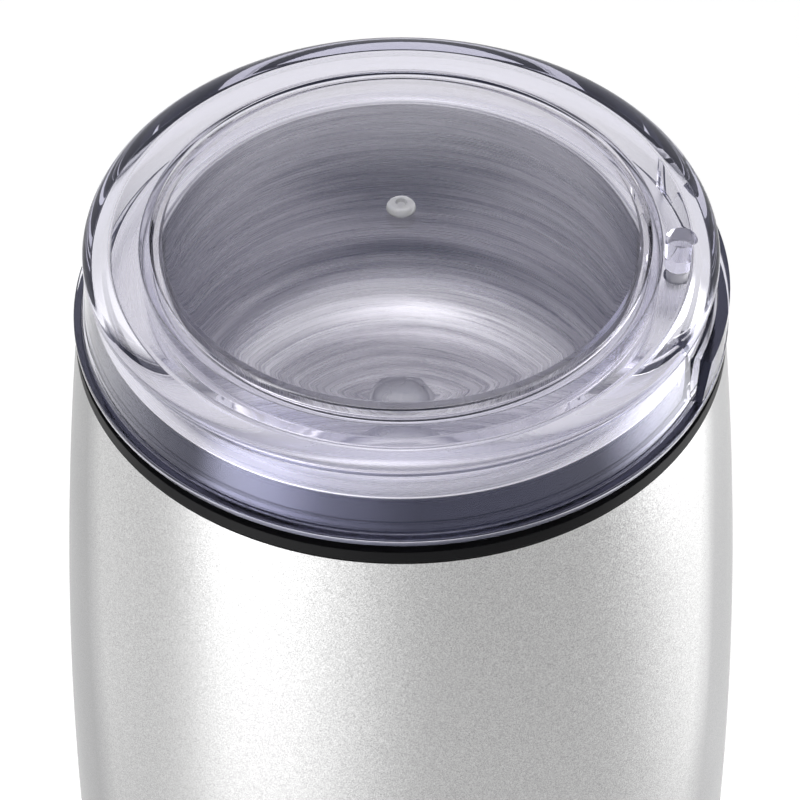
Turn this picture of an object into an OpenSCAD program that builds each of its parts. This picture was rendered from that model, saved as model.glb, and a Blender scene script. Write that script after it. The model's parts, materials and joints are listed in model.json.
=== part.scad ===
// Electric spice grinder: clear press-down lid, steel bowl and blade, barrel-shaped shell.
// Millimetres, +Z up. The origin is the middle of the footprint, on the surface it stands on.
// +X is the side with the lid's lug and the interlock, +Y is the rear with the cord inlet.

/* [Body shell] */
// Height of the painted shell
shell_h = 162; // [158:0.5:172]
// Outer diameter of the shell at its top edge
shell_top_d = 95.6; // [95:0.2:98]
// Largest outer diameter of the barrel
shell_belly_d = 106.2; // [104:0.2:112]
// Height of the belly above the shell's bottom edge
shell_belly_h = 64; // [56:1:72]
// Wall thickness of the shell
shell_wall = 2; // [1.6:0.1:2.2]
// Rounding of the shell's top and bottom edges
shell_edge_r = 0.7; // [0.3:0.1:0.8]

/* [Base] */
// Height of the feet below the base plate
foot_h = 2; // [1.5:0.1:4]
// Diameter of a foot
foot_d = 12; // [9:0.5:14]
// Depth of the recess that holds a foot
foot_seat = 1.2; // [0.8:0.1:1.4]
// How far a foot lies inside the base's edge
foot_margin = 4.8; // [3:0.1:8]
// Thickness of the base plate's floor
base_t = 2.4; // [2.2:0.1:3.5]
// Thickness of the flange that the shell stands on
base_flange_t = 1.6; // [1.2:0.1:2]
// How far the flange stays inside the shell's outline
base_inset = 1; // [0.5:0.1:1.4]
// Height of the spigot inside the shell
base_spigot_h = 3.6; // [2:0.1:5]
// Number of air slots
vent_count = 12; // [8:1:14]
// Width of an air slot
vent_w = 1.8; // [1.4:0.1:2]
// Length of an air slot
vent_l = 9; // [6:0.5:9.5]
// Inner radius of the ring of air slots
vent_r = 7; // [6.5:0.5:8]

/* [Collar] */
// Height of the black band that shows under the lid
collar_face_h = 2; // [1.6:0.1:3.5]
// Height of the shadow gap between collar and shell
collar_reveal = 0.3; // [0.2:0.05:0.6]
// Height of the upstand above the collar's shoulder
upstand_h = 6.1; // [5:0.1:7]
// Wall thickness of the collar moulding
collar_wall = 1.8; // [1.5:0.1:2]
// Depth of the spigot that centres the shell
spigot_h = 7.6; // [5:0.2:9]
// Wall thickness of the tube around the bowl
tube_wall = 1.2; // [1:0.1:1.4]
// Thickness of the deck under the bowl
deck_t = 3; // [2.4:0.1:4]
// Diameter of the four screw pillars
pillar_d = 7.6; // [6.6:0.1:8]
// Gap between a pillar and the base's spigot
pillar_margin = 2; // [1.8:0.1:2.6]

/* [Bowl] */
// Width from the bowl's mouth to the outside of the collar's upstand
rim_w = 8.8; // [8.6:0.1:9.2]
// Depth of the bowl from its lip to its floor
bowl_depth = 38; // [34:0.5:42]
// Thickness of the steel sheet
bowl_wall = 0.7; // [0.5:0.05:0.8]
// Radius of the corner between wall and floor
bowl_corner_r = 12; // [6:0.5:14]
// Height of the lip above the rim
lip_h = 2.9; // [2:0.1:3.2]
// Thickness of the gasket under the rim
gasket_t = 0.8; // [0.5:0.1:1.2]

/* [Lid] */
// How far the lid's bead lies inside the shell's top edge
lid_inset = 1.8; // [1.5:0.1:2.2]
// Thickness of the lid's skirt
lid_wall = 1.8; // [1.5:0.1:1.9]
// Thickness of the lid's top
lid_top_t = 2; // [1.6:0.1:2.2]
// Height from the lid's bottom edge to the bead
lid_skirt_h = 12.7; // [12:0.1:14]
// How far the flange at the bottom of the skirt stands out past the collar
lid_flange_over = 0.1; // [0:0.05:0.4]
// Height of that flange
lid_flange_h = 1.1; // [0.8:0.1:1.6]
// How far the domed window's edge lies inside the bowl's mouth
window_inset = 0.4; // [0.2:0.1:2]
// Rise of the dome above the window's edge
dome_rise = 5.1; // [3:0.1:7]
// Gap between the bowl's lip and the inner rib around it
rib_gap = 0.7; // [0.5:0.1:0.9]
// Thickness of the inner rib
rib_t = 1.4; // [1:0.1:1.5]
// Depth of the inner rib below the bead
rib_drop = 5; // [4:0.1:5.2]
// Diameter of the gate boss in the middle of the window
gate_d = 4.3; // [3:0.1:6]
// Height of the gate boss
gate_h = 1; // [0.5:0.1:1.5]
// Height of the lug on the skirt
lug_h = 6.5; // [5:0.1:8]
// Half the angle that the lug takes at its foot
lug_angle = 27; // [20:0.5:30]
// How much further in the lug's top corner lies
lug_slant = 4.5; // [2:0.5:6]

/* [Press and interlock] */
// Gap between the lid's flange and the collar's shoulder
lid_gap = 1.4; // [1.3:0.1:1.8]
// How far the lid goes down when it is pressed
press_travel = 1.1; // [0.8:0.05:1.1]
// Diameter of the push rod
rod_d = 3.6; // [3:0.1:3.8]
// Length of the push rod
rod_l = 57.5; // [54:0.5:60]
// Height of the rod's head above the bowl's rim
rod_head_h = 1.9; // [1.6:0.1:2.2]
// Wire diameter of the return spring
spring_wire_d = 0.6; // [0.4:0.05:0.7]
// Mean diameter of the return spring
spring_d = 4.8; // [4.7:0.1:5]
// Number of turns of the return spring
spring_turns = 6; // [4:1:8]

/* [Blade] */
// Length of the blade from tip to tip
blade_span = 52; // [44:1:58]
// Width of the blade
blade_w = 9; // [7:0.5:10]
// Thickness of the blade
blade_t = 1.4; // [1:0.1:1.8]
// Angle that the first tip is bent up
blade_bend_a = 26; // [10:1:32]
// Angle that the second tip is bent up
blade_bend_b = 12; // [5:1:20]

/* [Motor] */
// Diameter of the motor shaft
shaft_d = 6; // [5:0.1:6.4]
// Diameter of the armature
armature_d = 30; // [27:0.2:30.4]
// Length of the laminated stack
stack_l = 32; // [28:0.5:34]
// Width of the stack from left to right
stack_w = 46; // [45:0.2:47]
// Width of the stack from front to rear
stack_d = 54; // [53.4:0.2:54.6]
// Number of armature slots
slot_count = 12; // [8:1:14]
// Diameter of the commutator
commutator_d = 21; // [19:0.2:21.6]
// Length of the commutator
commutator_l = 12; // [10:0.5:13]
// Outer diameter of the fan
fan_d = 38; // [32:0.5:40]
// Number of fan blades
fan_blades = 9; // [6:1:12]
// Thickness of the rubber mounts
mount_t = 3; // [2:0.1:4]
// Thickness of the motor's brackets
bracket_t = 3; // [2.4:0.1:3.6]
// Diameter of the motor bolts and the mount screws
bolt_d = 2.8; // [2.4:0.1:3]

/* [Hidden] */

$fn = 96;
small_fn = 32;
eps = 0.01;

// Clearances
fit_gap = 0.05;
seat_gap = 0.1;
part_gap = 0.3;
shell_gap = 0.4;
skirt_gap = 0.6;
tube_gap = 0.6;
cut = 1;

// Levels of the shell, the collar and the bowl
base_z = foot_h;
floor_top_z = base_z + base_t;
shell_z0 = base_z + base_flange_t;
shell_z1 = shell_z0 + shell_h;
shoulder_z0 = shell_z1 + collar_reveal;
shoulder_z = shoulder_z0 + collar_face_h;
upstand_z = shoulder_z + upstand_h;
rim_z = upstand_z + bowl_wall;
lip_z = rim_z + lip_h;
bowl_floor_z = lip_z - bowl_depth;
bowl_bottom_z = bowl_floor_z - bowl_wall;
deck_drop = 5.4;
deck_top_z = bowl_bottom_z - deck_drop;
deck_z = deck_top_z - deck_t;
spigot_z = shell_z1 - spigot_h;

// The barrel's outline is one curve through the belly and the top edge
belly_r = shell_belly_d / 2;
collar_r = shell_top_d / 2;
belly_z = shell_z0 + shell_belly_h;
barrel_steps = 40;
function shell_r(z) = belly_r - (belly_r - collar_r) * pow((z - belly_z) / (shell_z1 - belly_z), 2);

// Radii of the collar, the base and the bowl
bead_r = collar_r - lid_inset;
upstand_r = bead_r - lid_wall - skirt_gap;
rim_r = upstand_r - 0.6;
spigot_r = collar_r - shell_wall - shell_gap;
reveal_inset = 0.9;
base_flange_r = shell_r(shell_z0) - base_inset;
base_spigot_r = shell_r(shell_z0) - shell_wall - shell_gap;
base_spigot_t = 1.6;
foot_pitch_r = base_flange_r - foot_margin - foot_d / 2;
pillar_pitch_r = base_spigot_r - base_spigot_t - pillar_margin - pillar_d / 2;
deck_r = pillar_pitch_r + pillar_d / 2 + 0.2;
mouth_r = upstand_r - rim_w;
bowl_r = mouth_r + bowl_wall;
tube_ri = bowl_r + tube_gap;
tube_ro = tube_ri + tube_wall;
upstand_plate_t = 2.5;
gasket_ri = bowl_r + part_gap;
gasket_ro = tube_ro + 0.6;
seal_hole_r = 6.5;

// The lid, measured from the plane of its bead
lid_z0 = shoulder_z + lid_gap;
bead_z = lid_z0 + lid_skirt_h;
bead_low = 0.3;
bead_rise = 2.5;
bead_inset = 4.3;
land_z = 2;
window_r = mouth_r - window_inset;
window_z = 1.9;
rib_ri = bowl_r + rib_gap;
rib_ro = rib_ri + rib_t;
groove_depth = 0.8;
skirt_top_r = bead_r - 0.5;
skirt_flare = 1.2;
skirt_low_r = skirt_top_r + skirt_flare;
skirt_top_z = -1.6;
flange_r = collar_r + lid_flange_over;
dome_r = (window_r * window_r + dome_rise * dome_rise) / (2 * dome_rise);
dome_zc = window_z + dome_rise - dome_r;
dome_steps = 14;
apex_z = bead_z + window_z + dome_rise;
gate_dimple_d = 1.6;
lug_r = flange_r - 0.1;
guide_t = 1.2;
guide_gap = 0.5;
guide_reach = 0.3;
guide_top = 2;
guide_low = 11.2;

// Push rod, guide and return spring
rod_r = rod_d / 2;
rod_top_z = rim_z + rod_head_h;
rod_bottom_z = rod_top_z - rod_l;
guide_boss_r = rod_r + 1.6;
guide_below = 14.1;
guide_bottom_z = shell_z1 - guide_below;
rod_stop_t = 1.5;
rod_stop_r = 2.8;
rod_x = tube_ro + part_gap + rod_stop_r;
rod_stop_z = guide_bottom_z - part_gap - rod_stop_t;
rim_hole_r = rod_r + 0.4;
finger_r = 2.2;
spring_r = spring_d / 2;
spring_z0 = deck_top_z + spring_wire_d / 2 + eps;
spring_z1 = rod_stop_z - spring_wire_d / 2 - eps;

// Microswitch under the push rod
switch_w = 20;
switch_t = 6.4;
switch_h = 10.2;
lever_t = 0.4;
lever_w = 3.4;
lever_pivot_y = -8.5;
lever_tip_y = 8;
lever_angle = 6.5;
lever_half_t = lever_t / 2 / cos(lever_angle);
lever_rise = (rod_r - lever_pivot_y) * tan(lever_angle) + lever_half_t;
lever_z = rod_bottom_z - part_gap - lever_rise;
lever_ear_r = 1.2;
lever_ear_t = 0.8;
pivot_r = 0.6;
switch_z1 = lever_z - 0.9;
switch_z0 = switch_z1 - switch_h;
plunger_y = -3;
plunger_r = 0.9;
plunger_in = 3;
plunger_z1 = lever_z + (plunger_y - plunger_r - lever_pivot_y) * tan(lever_angle) - lever_half_t - part_gap;
switch_x0 = rod_x - switch_t / 2;
tab_plate_t = 1.4;
tab_plate_w = 18;
tab_plate_x = switch_x0 - tab_plate_t;
switch_screw_y = 4.75;
switch_screw_z = switch_z0 + 2.5;
switch_screw_r = 1;
switch_head_r = 1.9;
switch_head_h = 1.2;
tab_y = 7;
tab_w = 3.2;
tab_t = 0.5;
tab_l = 5;

// Motor, hung from the deck
boss_hole_r = 10.5;
boss_r = 9;
mount_x = 14;
mount_y = 20;
mount_d = 9;
bracket_top_z = deck_z - mount_t;
bracket_z = bracket_top_z - bracket_t;
upper_post_l = 14.5;
stack_top_z = bracket_z - upper_post_l;
stack_z = stack_top_z - stack_l;
stack_mid_z = (stack_z + stack_top_z) / 2;
lower_post_l = 25;
lower_top_z = stack_z - lower_post_l;
lower_z = lower_top_z - bracket_t;
post_x = stack_w / 2 - 3;
post_y = stack_d / 2 - 3;
bolt_r = bolt_d / 2;
bolt_hole_r = bolt_r + seat_gap;
post_r = bolt_hole_r + 1.3;
bolt_head_r = 2.7;
bolt_head_h = 2;
shaft_r = shaft_d / 2;
bearing_t = 3;
bearing_r = shaft_r + bearing_t;
upper_boss_drop = 0.7;
upper_boss_rise = 8.5;
lower_boss_drop = 3;
lower_boss_rise = 4;
armature_r = armature_d / 2;
air_gap = 0.5;
pole_bore_r = armature_r + air_gap;
slot_w = 2.2;
slot_bottom_r = 8;
winding_overhang = 6.5;
coil_w = 18.6;
coil_build = 8.2;
coil_overhang = 8;
coil_t = 4.5;
coil_y = pole_bore_r + 1;
commutator_r = commutator_d / 2;
commutator_gap = 1.2;
commutator_top_z = stack_z - winding_overhang - commutator_gap;
commutator_z = commutator_top_z - commutator_l;
commutator_bars = 24;
brush_z = (commutator_z + commutator_top_z) / 2;
brush_w = 5;
brush_h = 6.2;
brush_l = 9.5;
holder_l = 12.4;
holder_gap = 1;
holder_wall = 2;
holder_x0 = commutator_r + holder_gap;
holder_x1 = holder_x0 + holder_l;
holder_z0 = brush_z - brush_h / 2 - seat_gap - holder_wall;
brush_x0 = commutator_r + seat_gap;
brush_x1 = brush_x0 + brush_l;
cap_t = 1.2;
cap_tab_l = 4;
brush_spring_r = 1.8;
brush_wire_d = 0.5;
fan_h = 4.2;
fan_r = fan_d / 2;
fan_top_z = bracket_z - upper_boss_drop - 0.8;
fan_z = fan_top_z - fan_h;

// Blade stack on the shaft's top end
seal_lip_t = 1.2;
seal_under_t = 1.3;
spacer_gap = 0.5;
spacer_z = bowl_floor_z + seal_lip_t + spacer_gap;
spacer_h = 3;
spacer_r = 8;
blade_z = spacer_z + spacer_h;
washer_t = 0.8;
washer_z = blade_z + blade_t;
nut_z = washer_z + washer_t;
nut_h = 3.2;
nut_cap_h = 1.4;
nut_flats = 10;
shaft_top_z = nut_z + nut_h;
shaft_bottom_z = lower_z - lower_boss_drop - 2;
blade_knee = 16;
blade_cut = 2.5;
blade_hub = 1.5;

// Cord inlet and things on the base plate
cord_z = shell_z0 + 12;
cord_bore_r = 3.3;
bush_r = 4.9;
bush_flange_r = 6.5;
bush_outer_y = shell_r(cord_z) + 1.2;
bush_inner_y = shell_r(cord_z) - shell_wall - 5.4;
bush_inner_flange_t = 1.6;
bush_outer_flange_t = 2.6;
bush_flare_y = shell_r(cord_z) - shell_wall - 0.7;
bush_mouth_r = cord_bore_r + 0.9;
screw_r = 1.25;
screw_head_r = 2.9;
screw_head_h = 1.6;
screw_recess = 1.7;
screw_l = 12;
board_w = 36;
board_d = 24;
board_t = 1.6;
board_y = -24;
board_post_h = 5;
board_post_r = 2.4;
board_screw_x = board_w / 2 - 4;
board_screw_y = board_d / 2 - 3;
board_head_r = 2.2;
board_head_h = 1.4;
board_screw_l = 5;
board_z = floor_top_z + board_post_h;
cap_w = 18;
cap_d = 8;
cap_h = 13;
block_w = 20;
block_d = 10;
block_h = 10;
block_y = 30;
block_pole = 5;
block_hole = 4;
lead_r = 0.9;

// Closed ring from z0 to z1 between two radii
module ring(r_in, r_out, z0, z1) {
    translate([0, 0, z0]) difference() {
        cylinder(r = r_out, h = z1 - z0);
        translate([0, 0, -cut]) cylinder(r = r_in, h = z1 - z0 + 2 * cut);
    }
}

module post(r, z0, z1) {
    translate([0, 0, z0]) cylinder(r = r, h = z1 - z0);
}

// Box by its lowest and highest corners
module box(low, high) {
    translate(low) cube(high - low);
}

// Rectangle with round corners, centred
module round_rect(w, d, r) {
    square([w - 2 * r, d], center = true);
    square([w, d - 2 * r], center = true);
    for (x = [-1, 1], y = [-1, 1])
        translate([x * (w / 2 - r), y * (d / 2 - r)]) circle(r = r, $fn = small_fn);
}

module at_four(x, y) {
    for (sx = [-1, 1], sy = [-1, 1]) translate([sx * x, sy * y, 0]) children();
}

module at_pillars() {
    for (i = [0 : 3]) rotate(45 + 90 * i) translate([pillar_pitch_r, 0, 0]) children();
}

module at_feet() {
    for (i = [0 : 3]) rotate(90 * i) translate([foot_pitch_r, 0, 0]) children();
}

// Sweep of a round section along a list of points, with a frame that doesn't twist
function unit(v) = v / norm(v);
function heading(p, i) = unit(p[min(i + 1, len(p) - 1)] - p[max(i - 1, 0)]);
function frames(p, i, u) = i == len(p) ? [] :
    let (t = heading(p, i), v = unit(u - (u * t) * t)) concat([v], frames(p, i + 1, v));

module sweep(p, r, sides, up) {
    n = len(p);
    u = frames(p, 0, up);
    points = [for (i = [0 : n - 1], k = [0 : sides - 1])
        let (w = cross(heading(p, i), u[i]), a = 360 * k / sides)
        p[i] + r * (cos(a) * u[i] + sin(a) * w)];
    walls = [for (i = [0 : n - 2], k = [0 : sides - 1])
        let (m = (k + 1) % sides)
        [i * sides + k, (i + 1) * sides + k, (i + 1) * sides + m, i * sides + m]];
    ends = [[for (k = [0 : sides - 1]) k],
        [for (k = [sides - 1 : -1 : 0]) (n - 1) * sides + k]];
    polyhedron(points, concat(walls, ends));
}

// Smooth curve through hand-picked points
function curve_point(a, b, c, d, t) = 0.5 * (2 * b + (c - a) * t
    + (2 * a - 5 * b + 4 * c - d) * t * t + (3 * b - a - 3 * c + d) * t * t * t);
function curve(p, steps) = concat([for (i = [0 : len(p) - 2], k = [0 : steps - 1])
    curve_point(p[max(i - 1, 0)], p[i], p[i + 1], p[min(i + 2, len(p) - 1)], k / steps)],
    [p[len(p) - 1]]);

function helix(r, z0, z1, turns, steps) = [for (i = [0 : turns * steps])
    [r * cos(360 * i / steps), r * sin(360 * i / steps), z0 + (z1 - z0) * i / (turns * steps)]];

// ---- lid ----

function dome_arc(thickness, r_edge) = let (r = dome_r - thickness, a = asin(r_edge / r))
    [for (i = [0 : dome_steps]) [r * sin(a * i / dome_steps), dome_zc + r * cos(a * i / dome_steps)]];
function reverse(list) = [for (i = [len(list) - 1 : -1 : 0]) list[i]];

lid_outside = concat(dome_arc(0, window_r), [
    [window_r + 0.5, window_z - groove_depth],
    [rib_ri - 0.5, window_z - groove_depth],
    [rib_ri, land_z]],
    [for (a = [0 : 10 : 90])
        [bead_r - bead_inset * (1 - sin(a)), -bead_low + bead_rise * cos(a)]], [
    [bead_r - 0.1, -bead_low - 0.5],
    [skirt_top_r, skirt_top_z],
    [skirt_low_r, -lid_skirt_h + lid_flange_h],
    [flange_r - 0.3, -lid_skirt_h + lid_flange_h],
    [flange_r, -lid_skirt_h + lid_flange_h - 0.3],
    [flange_r, -lid_skirt_h]]);
lid_inside = concat([
    [skirt_low_r - lid_wall + 0.4, -lid_skirt_h],
    [skirt_low_r - lid_wall, -lid_skirt_h + 0.7],
    [skirt_top_r - lid_wall, skirt_top_z - 0.6],
    [skirt_top_r - lid_wall - 0.5, skirt_top_z + 0.5],
    [skirt_top_r - lid_wall - 1.6, land_z - lid_top_t],
    [rib_ro + 0.1, land_z - lid_top_t],
    [rib_ro, -rib_drop + 0.4],
    [rib_ro - 0.4, -rib_drop],
    [rib_ri + 0.4, -rib_drop],
    [rib_ri, -rib_drop + 0.4],
    [rib_ri - 0.1, land_z - lid_top_t - 0.6]],
    reverse(dome_arc(lid_top_t, window_r - 0.6)));

module lid_lug() {
    y_low = lug_r * sin(lug_angle);
    y_top = lug_r * sin(lug_angle - lug_slant);
    intersection() {
        ring(skirt_top_r - 0.3, lug_r, lid_z0, lid_z0 + lug_h);
        translate([bead_r / 2, 0, 0]) rotate([90, 0, 90]) linear_extrude(bead_r)
            polygon([[-y_low, lid_z0 - cut], [y_low, lid_z0 - cut], [y_low, lid_z0 + 0.5],
                [y_top, lid_z0 + lug_h], [-y_top, lid_z0 + lug_h], [-y_low, lid_z0 + 0.5]]);
    }
}

// Ribs inside the skirt that ride in the collar's grooves and stop the lid turning
module lid_guides() {
    for (s = [-1, 1]) rotate(s * lug_angle)
        box([upstand_r - guide_reach, -guide_t / 2, bead_z - guide_low],
            [skirt_top_r - lid_wall / 2, guide_t / 2, bead_z - guide_top]);
}

// Finger that pushes the rod
module lid_finger() {
    translate([rod_x, 0, 0]) post(finger_r, rod_top_z + part_gap, bead_z + land_z - lid_top_t / 2);
}

module lid() {
    color("lightsteelblue", 0.4) {
        translate([0, 0, bead_z]) rotate_extrude() polygon(concat(lid_outside, lid_inside));
        lid_lug();
        lid_guides();
        lid_finger();
        difference() {
            post(gate_d / 2, apex_z - lid_top_t / 2, apex_z + gate_h, $fn = small_fn);
            post(gate_dimple_d / 2, apex_z + gate_h / 2, apex_z + gate_h + cut, $fn = small_fn);
        }
    }
}

// ---- collar, bowl and shell ----

module collar_walls() {
    ring(tube_ri, tube_ro, deck_z, upstand_z);
    ring(tube_ri, upstand_r, upstand_z - upstand_plate_t, upstand_z);
    ring(upstand_r - collar_wall, upstand_r, spigot_z, upstand_z);
    ring(upstand_r - collar_wall, collar_r, shoulder_z0, shoulder_z);
    ring(upstand_r - collar_wall, collar_r - reveal_inset, shell_z1, shoulder_z);
    ring(upstand_r - collar_wall, spigot_r, spigot_z, shoulder_z);
}

module collar() {
    color([0.09, 0.09, 0.1]) difference() {
        union() {
            collar_walls();
            post(deck_r, deck_z, deck_top_z);
            intersection() {
                translate([rod_x, 0, 0]) post(guide_boss_r, guide_bottom_z, upstand_z - 1);
                post(upstand_r, guide_bottom_z - cut, upstand_z);
            }
            at_pillars() post(pillar_d / 2, floor_top_z, deck_z + cut);
            box([tab_plate_x, -tab_plate_w / 2, switch_z0], [switch_x0, tab_plate_w / 2, deck_z + cut]);
        }
        post(boss_hole_r, deck_z - cut, deck_top_z + cut);
        at_four(mount_x, mount_y) post(bolt_r + 0.4, deck_z - cut, deck_top_z + cut, $fn = small_fn);
        translate([rod_x, 0, 0]) post(rod_r + fit_gap, deck_z - cut, upstand_z + cut);
        post(gasket_ro + seat_gap, upstand_z - gasket_t, upstand_z + cut);
        for (s = [-1, 1]) rotate(s * lug_angle)
            box([upstand_r - guide_reach - part_gap, -guide_t / 2 - guide_gap, shoulder_z],
                [upstand_r + cut, guide_t / 2 + guide_gap, upstand_z + cut]);
        at_pillars() post(screw_r + fit_gap, floor_top_z - cut, floor_top_z + screw_l + 2, $fn = small_fn);
        for (s = [-1, 1]) translate([tab_plate_x - cut, s * switch_screw_y, switch_screw_z])
            rotate([0, 90, 0])
                cylinder(r = switch_screw_r + fit_gap, h = tab_plate_t + 2 * cut, $fn = small_fn);
    }
}

function corner_arc(r, steps) = [for (i = [0 : steps])
    [mouth_r - bowl_corner_r + r * sin(90 * i / steps),
    bowl_floor_z + bowl_corner_r - r * cos(90 * i / steps)]];
lip_r = bowl_wall / 2;

module bowl() {
    color([0.78, 0.78, 0.8]) difference() {
        rotate_extrude() polygon(concat(
            [[seal_hole_r, bowl_bottom_z]],
            corner_arc(bowl_corner_r + bowl_wall, 12),
            [[bowl_r, upstand_z], [rim_r, upstand_z], [rim_r, rim_z - 0.2], [rim_r - 0.2, rim_z],
            [bowl_r + 0.5, rim_z], [bowl_r, rim_z + 0.5]],
            [for (a = [0 : 30 : 180])
                [mouth_r + lip_r + lip_r * cos(a), lip_z - lip_r + lip_r * sin(a)]],
            reverse(corner_arc(bowl_corner_r, 12)),
            [[seal_hole_r, bowl_floor_z]]));
        translate([rod_x, 0, 0]) post(rim_hole_r, upstand_z - cut, rim_z + cut, $fn = small_fn);
    }
}

module bowl_gasket() {
    color("dimgray") ring(gasket_ri, gasket_ro, upstand_z - gasket_t, upstand_z);
}

function barrel_z(i) = shell_z0 + shell_edge_r + (shell_h - 2 * shell_edge_r) * i / barrel_steps;
function barrel_line(inset, low, high) = concat([[shell_r(low) - inset, low]],
    [for (i = [0 : barrel_steps]) if (barrel_z(i) > low && barrel_z(i) < high)
        [shell_r(barrel_z(i)) - inset, barrel_z(i)]],
    [[shell_r(high) - inset, high]]);

module body_shell() {
    low = shell_z0 + shell_edge_r;
    high = shell_z1 - shell_edge_r;
    color([0.75, 0.76, 0.77]) difference() {
        rotate_extrude() polygon(concat(
            [[shell_r(shell_z0) - shell_edge_r, shell_z0]],
            barrel_line(0, low, high),
            [[shell_r(shell_z1) - shell_edge_r * 0.3, shell_z1 - shell_edge_r * 0.3],
            [shell_r(shell_z1) - shell_edge_r, shell_z1]],
            reverse(barrel_line(shell_wall, shell_z0, shell_z1))));
        translate([0, 0, cord_z]) rotate([-90, 0, 0])
            cylinder(r = bush_r + seat_gap, h = belly_r + cut, $fn = small_fn);
    }
}

// ---- base ----

// Disc on the cord inlet's axis
module rear_disc(r, y0, y1) {
    translate([0, y0, cord_z]) rotate([-90, 0, 0]) cylinder(r = r, h = y1 - y0);
}

module base_plate() {
    color([0.11, 0.11, 0.12]) difference() {
        union() {
            post(base_flange_r, base_z, shell_z0);
            post(base_spigot_r, base_z, floor_top_z);
            ring(base_spigot_r - base_spigot_t, base_spigot_r, base_z, shell_z0 + base_spigot_h);
            translate([0, board_y, 0]) at_four(board_screw_x, board_screw_y)
                post(board_post_r, base_z, board_z, $fn = small_fn);
        }
        at_feet() post(foot_d / 2 + seat_gap, base_z - cut, base_z + foot_seat);
        at_pillars() post(screw_r + part_gap, base_z - cut, floor_top_z + cut, $fn = small_fn);
        at_pillars() post(screw_head_r + part_gap, base_z - cut, base_z + screw_recess, $fn = small_fn);
        for (i = [0 : vent_count - 1]) rotate(360 * (i + 0.5) / vent_count)
            box([vent_r, -vent_w / 2, base_z - cut], [vent_r + vent_l, vent_w / 2, floor_top_z + cut]);
        translate([0, board_y, 0]) at_four(board_screw_x, board_screw_y)
            post(screw_r + fit_gap, board_z - board_screw_l + 1, board_z + cut, $fn = small_fn);
    }
}

module feet() {
    color([0.2, 0.2, 0.2]) at_feet() post(foot_d / 2, 0, base_z + foot_seat);
}

// Pan-head screw that points up from z, with its head under z
module screw_up(r, head_r, head_h, z, length) {
    post(head_r, z - head_h, z, $fn = small_fn);
    post(r, z - eps, z + length, $fn = small_fn);
}

module base_screws() {
    head_z = base_z + screw_recess;
    color("gray") at_pillars() difference() {
        screw_up(screw_r, screw_head_r, screw_head_h, head_z, screw_l);
        for (a = [0, 90]) rotate(a)
            box([-1.8, -0.35, head_z - screw_head_h - cut], [1.8, 0.35, head_z - screw_head_h + 0.9]);
    }
}

module cord_bush() {
    z0 = cord_z - bush_flange_r - cut;
    z1 = cord_z + bush_flange_r + cut;
    color([0.12, 0.12, 0.12]) difference() {
        union() {
            difference() {
                rear_disc(bush_flange_r, bush_outer_y - bush_outer_flange_t, bush_outer_y);
                rotate_extrude() polygon(concat([[0, z0]], barrel_line(-seat_gap, z0, z1), [[0, z1]]));
            }
            rear_disc(bush_r, bush_inner_y, bush_outer_y);
            rear_disc(bush_flange_r, bush_inner_y, bush_inner_y + bush_inner_flange_t);
        }
        rear_disc(cord_bore_r, bush_inner_y - cut, bush_outer_y + cut);
        translate([0, bush_flare_y, cord_z]) rotate([-90, 0, 0])
            cylinder(r1 = cord_bore_r, r2 = bush_mouth_r, h = bush_outer_y + cut - bush_flare_y);
    }
}

module circuit_board() {
    color("darkgreen") difference() {
        box([-board_w / 2, board_y - board_d / 2, board_z],
            [board_w / 2, board_y + board_d / 2, board_z + board_t]);
        translate([0, board_y, 0]) at_four(board_screw_x, board_screw_y)
            post(screw_r + seat_gap, board_z - cut, board_z + board_t + cut, $fn = small_fn);
    }
}

module capacitor() {
    color("goldenrod") translate([0, board_y, board_z + board_t])
        linear_extrude(cap_h) round_rect(cap_w, cap_d, 1);
}

module board_screws() {
    z = board_z + board_t;
    color("silver") translate([0, board_y, 0]) at_four(board_screw_x, board_screw_y) {
        post(board_head_r, z, z + board_head_h, $fn = small_fn);
        post(screw_r, z - board_screw_l, z + eps, $fn = small_fn);
    }
}

module terminal_block() {
    z1 = floor_top_z + block_h;
    color("ivory") difference() {
        box([-block_w / 2, block_y, floor_top_z], [block_w / 2, block_y + block_d, z1]);
        for (s = [-1, 1]) translate([s * block_pole, block_y, 0]) {
            translate([0, block_d / 2, 0]) post(1.8, z1 - 4, z1 + cut, $fn = small_fn);
            translate([0, -cut, floor_top_z + block_hole]) rotate([-90, 0, 0])
                cylinder(r = 1.5, h = block_d + 2 * cut, $fn = small_fn);
        }
    }
}

// ---- blade and shaft ----

module shaft_seal() {
    color([0.15, 0.15, 0.15]) rotate_extrude() polygon([
        [shaft_r + seat_gap, bowl_bottom_z - seal_under_t],
        [seal_hole_r + 2.5, bowl_bottom_z - seal_under_t],
        [seal_hole_r + 2.5, bowl_bottom_z],
        [seal_hole_r, bowl_bottom_z],
        [seal_hole_r, bowl_floor_z],
        [seal_hole_r + 1.8, bowl_floor_z],
        [seal_hole_r + 1, bowl_floor_z + seal_lip_t],
        [shaft_r + seat_gap, bowl_floor_z + seal_lip_t]]);
}

module blade_spacer() {
    color([0.1, 0.1, 0.1]) difference() {
        union() {
            post(spacer_r, spacer_z, spacer_z + spacer_h - 1);
            post(spacer_r - 1.5, spacer_z, spacer_z + spacer_h);
        }
        post(shaft_r + fit_gap, spacer_z - cut, spacer_z + spacer_h + cut);
    }
}

module blade_arm(bend) {
    tip_l = (blade_span / 2 - blade_knee) / cos(bend);
    translate([0, 0, blade_z]) {
        linear_extrude(blade_t) polygon([[0, -blade_w / 2 - blade_hub], [blade_knee, -blade_w / 2],
            [blade_knee, blade_w / 2], [0, blade_w / 2 + blade_hub]]);
        translate([blade_knee, 0, 0]) rotate([0, -bend, 0]) linear_extrude(blade_t)
            polygon([[0, -blade_w / 2], [tip_l - blade_cut, -blade_w / 2],
                [tip_l, -blade_w / 2 + blade_cut], [tip_l, blade_w / 2], [0, blade_w / 2]]);
    }
}

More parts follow.
